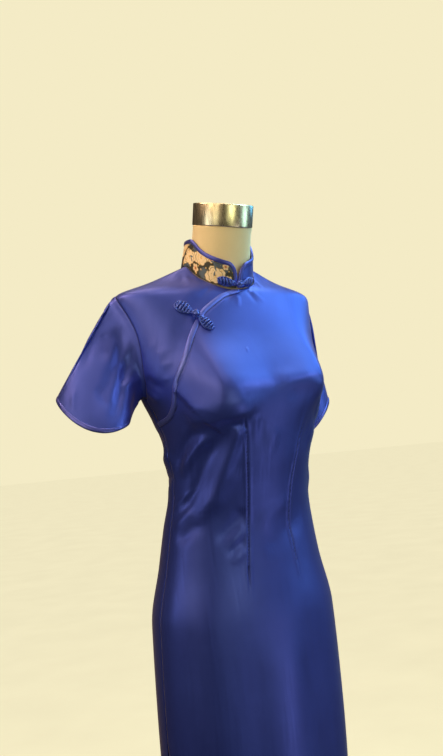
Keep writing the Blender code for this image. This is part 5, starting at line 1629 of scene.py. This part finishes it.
# Each lamp: its bearing from the front and its rise in degrees, its power and colour, its distance
# and the height that it stands round, and its size.
Lamp = namedtuple(
    "Lamp", "name bearing rise power colour distance middle size", defaults=(2.0, 1.25, 0.8)
)
LAMPS = [
    Lamp("shoulder_warm", -105, 42, 2.6, (1.0, 0.62, 0.30), 0.75, 1.38, 0.35),
    Lamp("warm_low", -60, 0, 2.0, (1.0, 0.88, 0.44)),
    Lamp("low_side", -90, 0, 3.2, (0.95, 0.90, 0.60)),
    Lamp("front_low", 0, 0, 5.0, (1.0, 0.96, 0.42)),
    Lamp("cool_low", 60, 0, 3.5, (0.60, 1.0, 0.79)),
    Lamp("warm_side", -75, 25, 8.0, (1.0, 0.66, 0.28)),
    Lamp("warm_high", -60, 50, 3.2, (1.0, 0.86, 0.50)),
    Lamp("warm_front", -50, 25, 5.5, (1.0, 0.72, 0.34)),
    Lamp("front_high", 0, 50, 2.0, (1.0, 0.80, 0.50)),
    Lamp("cool_side", 50, 25, 8.0, (0.76, 0.96, 0.78)),
    Lamp("cool_far", 100, 25, 6.4, (0.14, 0.59, 1.0)),
    Lamp("warm_top_back", 180, 70, 9.0, (1.0, 0.68, 0.34), middle=1.3),
    Lamp("ceiling", 0, 75, 9.0, (1.0, 0.67, 0.30)),
    Lamp("floor", 30, -25, 3.0, (1.0, 0.89, 0.61), middle=1.1),
    Lamp("cool_near", 68, 35, 2.3, (0.36, 1.0, 0.92), 1.2, 1.35, 0.5),
    Lamp("cool_top", 85, 60, 6.9, (0.60, 1.0, 0.80), 1.2, 1.35, 0.5),
]
for row in LAMPS:
    light = bpy.data.lights.new(row.name, "AREA")
    light.shape, light.size = "DISK", row.size
    light.energy, light.color = row.power, row.colour
    lamp = bpy.data.objects.new(row.name, light)
    bearing, rise = math.radians(row.bearing), math.radians(row.rise)
    level = math.cos(rise)
    away = Vector((level * math.sin(bearing), -level * math.cos(bearing), math.sin(rise)))
    lamp.location = Vector((0.0, 0.0, row.middle)) + away * row.distance
    lamp.rotation_euler = (-away).to_track_quat("-Z", "Y").to_euler()
    lamp.visible_camera = False
    bpy.context.scene.collection.objects.link(lamp)

world = bpy.data.worlds.new("studio")
world.use_nodes = True
tree = world.node_tree
seen, lit = tree.nodes["Background"], tree.nodes.new("ShaderNodeBackground")
seen.inputs["Color"].default_value, seen.inputs["Strength"].default_value = (*CREAM, 1.0), 1.0
lit.inputs["Color"].default_value, lit.inputs["Strength"].default_value = (1.0, 0.80, 0.50, 1.0), 0.05
path, both = tree.nodes.new("ShaderNodeLightPath"), tree.nodes.new("ShaderNodeMixShader")
tree.links.new(path.outputs["Is Camera Ray"], both.inputs["Fac"])
tree.links.new(lit.outputs["Background"], both.inputs[1])
tree.links.new(seen.outputs["Background"], both.inputs[2])
tree.links.new(both.outputs["Shader"], tree.nodes["World Output"].inputs["Surface"])
bpy.context.scene.world = world
bpy.context.scene.view_settings.view_transform = "Standard"

ahead, right = Vector((math.sin(YAW), math.cos(YAW), 0)), Vector((math.cos(YAW), -math.sin(YAW), 0))
up = Vector((0, 0, 1))
ahead_down = ahead * math.cos(PITCH) - up * math.sin(PITCH)
top_of_view = up * math.cos(PITCH) + ahead * math.sin(PITCH)
sight = ahead_down * math.cos(ASIDE) + right * math.sin(ASIDE)
side_of_view = right * math.cos(ASIDE) - ahead_down * math.sin(ASIDE)
stand = Matrix.Translation((-math.sin(YAW) * CAMERA_DISTANCE, -math.cos(YAW) * CAMERA_DISTANCE, EYE))
turned_to = Matrix((side_of_view, top_of_view, -sight)).transposed().to_4x4()
camera_data = bpy.data.cameras.new("view")
camera_data.sensor_width, camera_data.lens = VIEW_HEIGHT, LENS
camera = bpy.data.objects.new("view", camera_data)
camera.matrix_world = stand @ turned_to @ Matrix.Rotation(ROLL, 4, "Z")
bpy.context.scene.collection.objects.link(camera)
bpy.context.scene.camera = camera
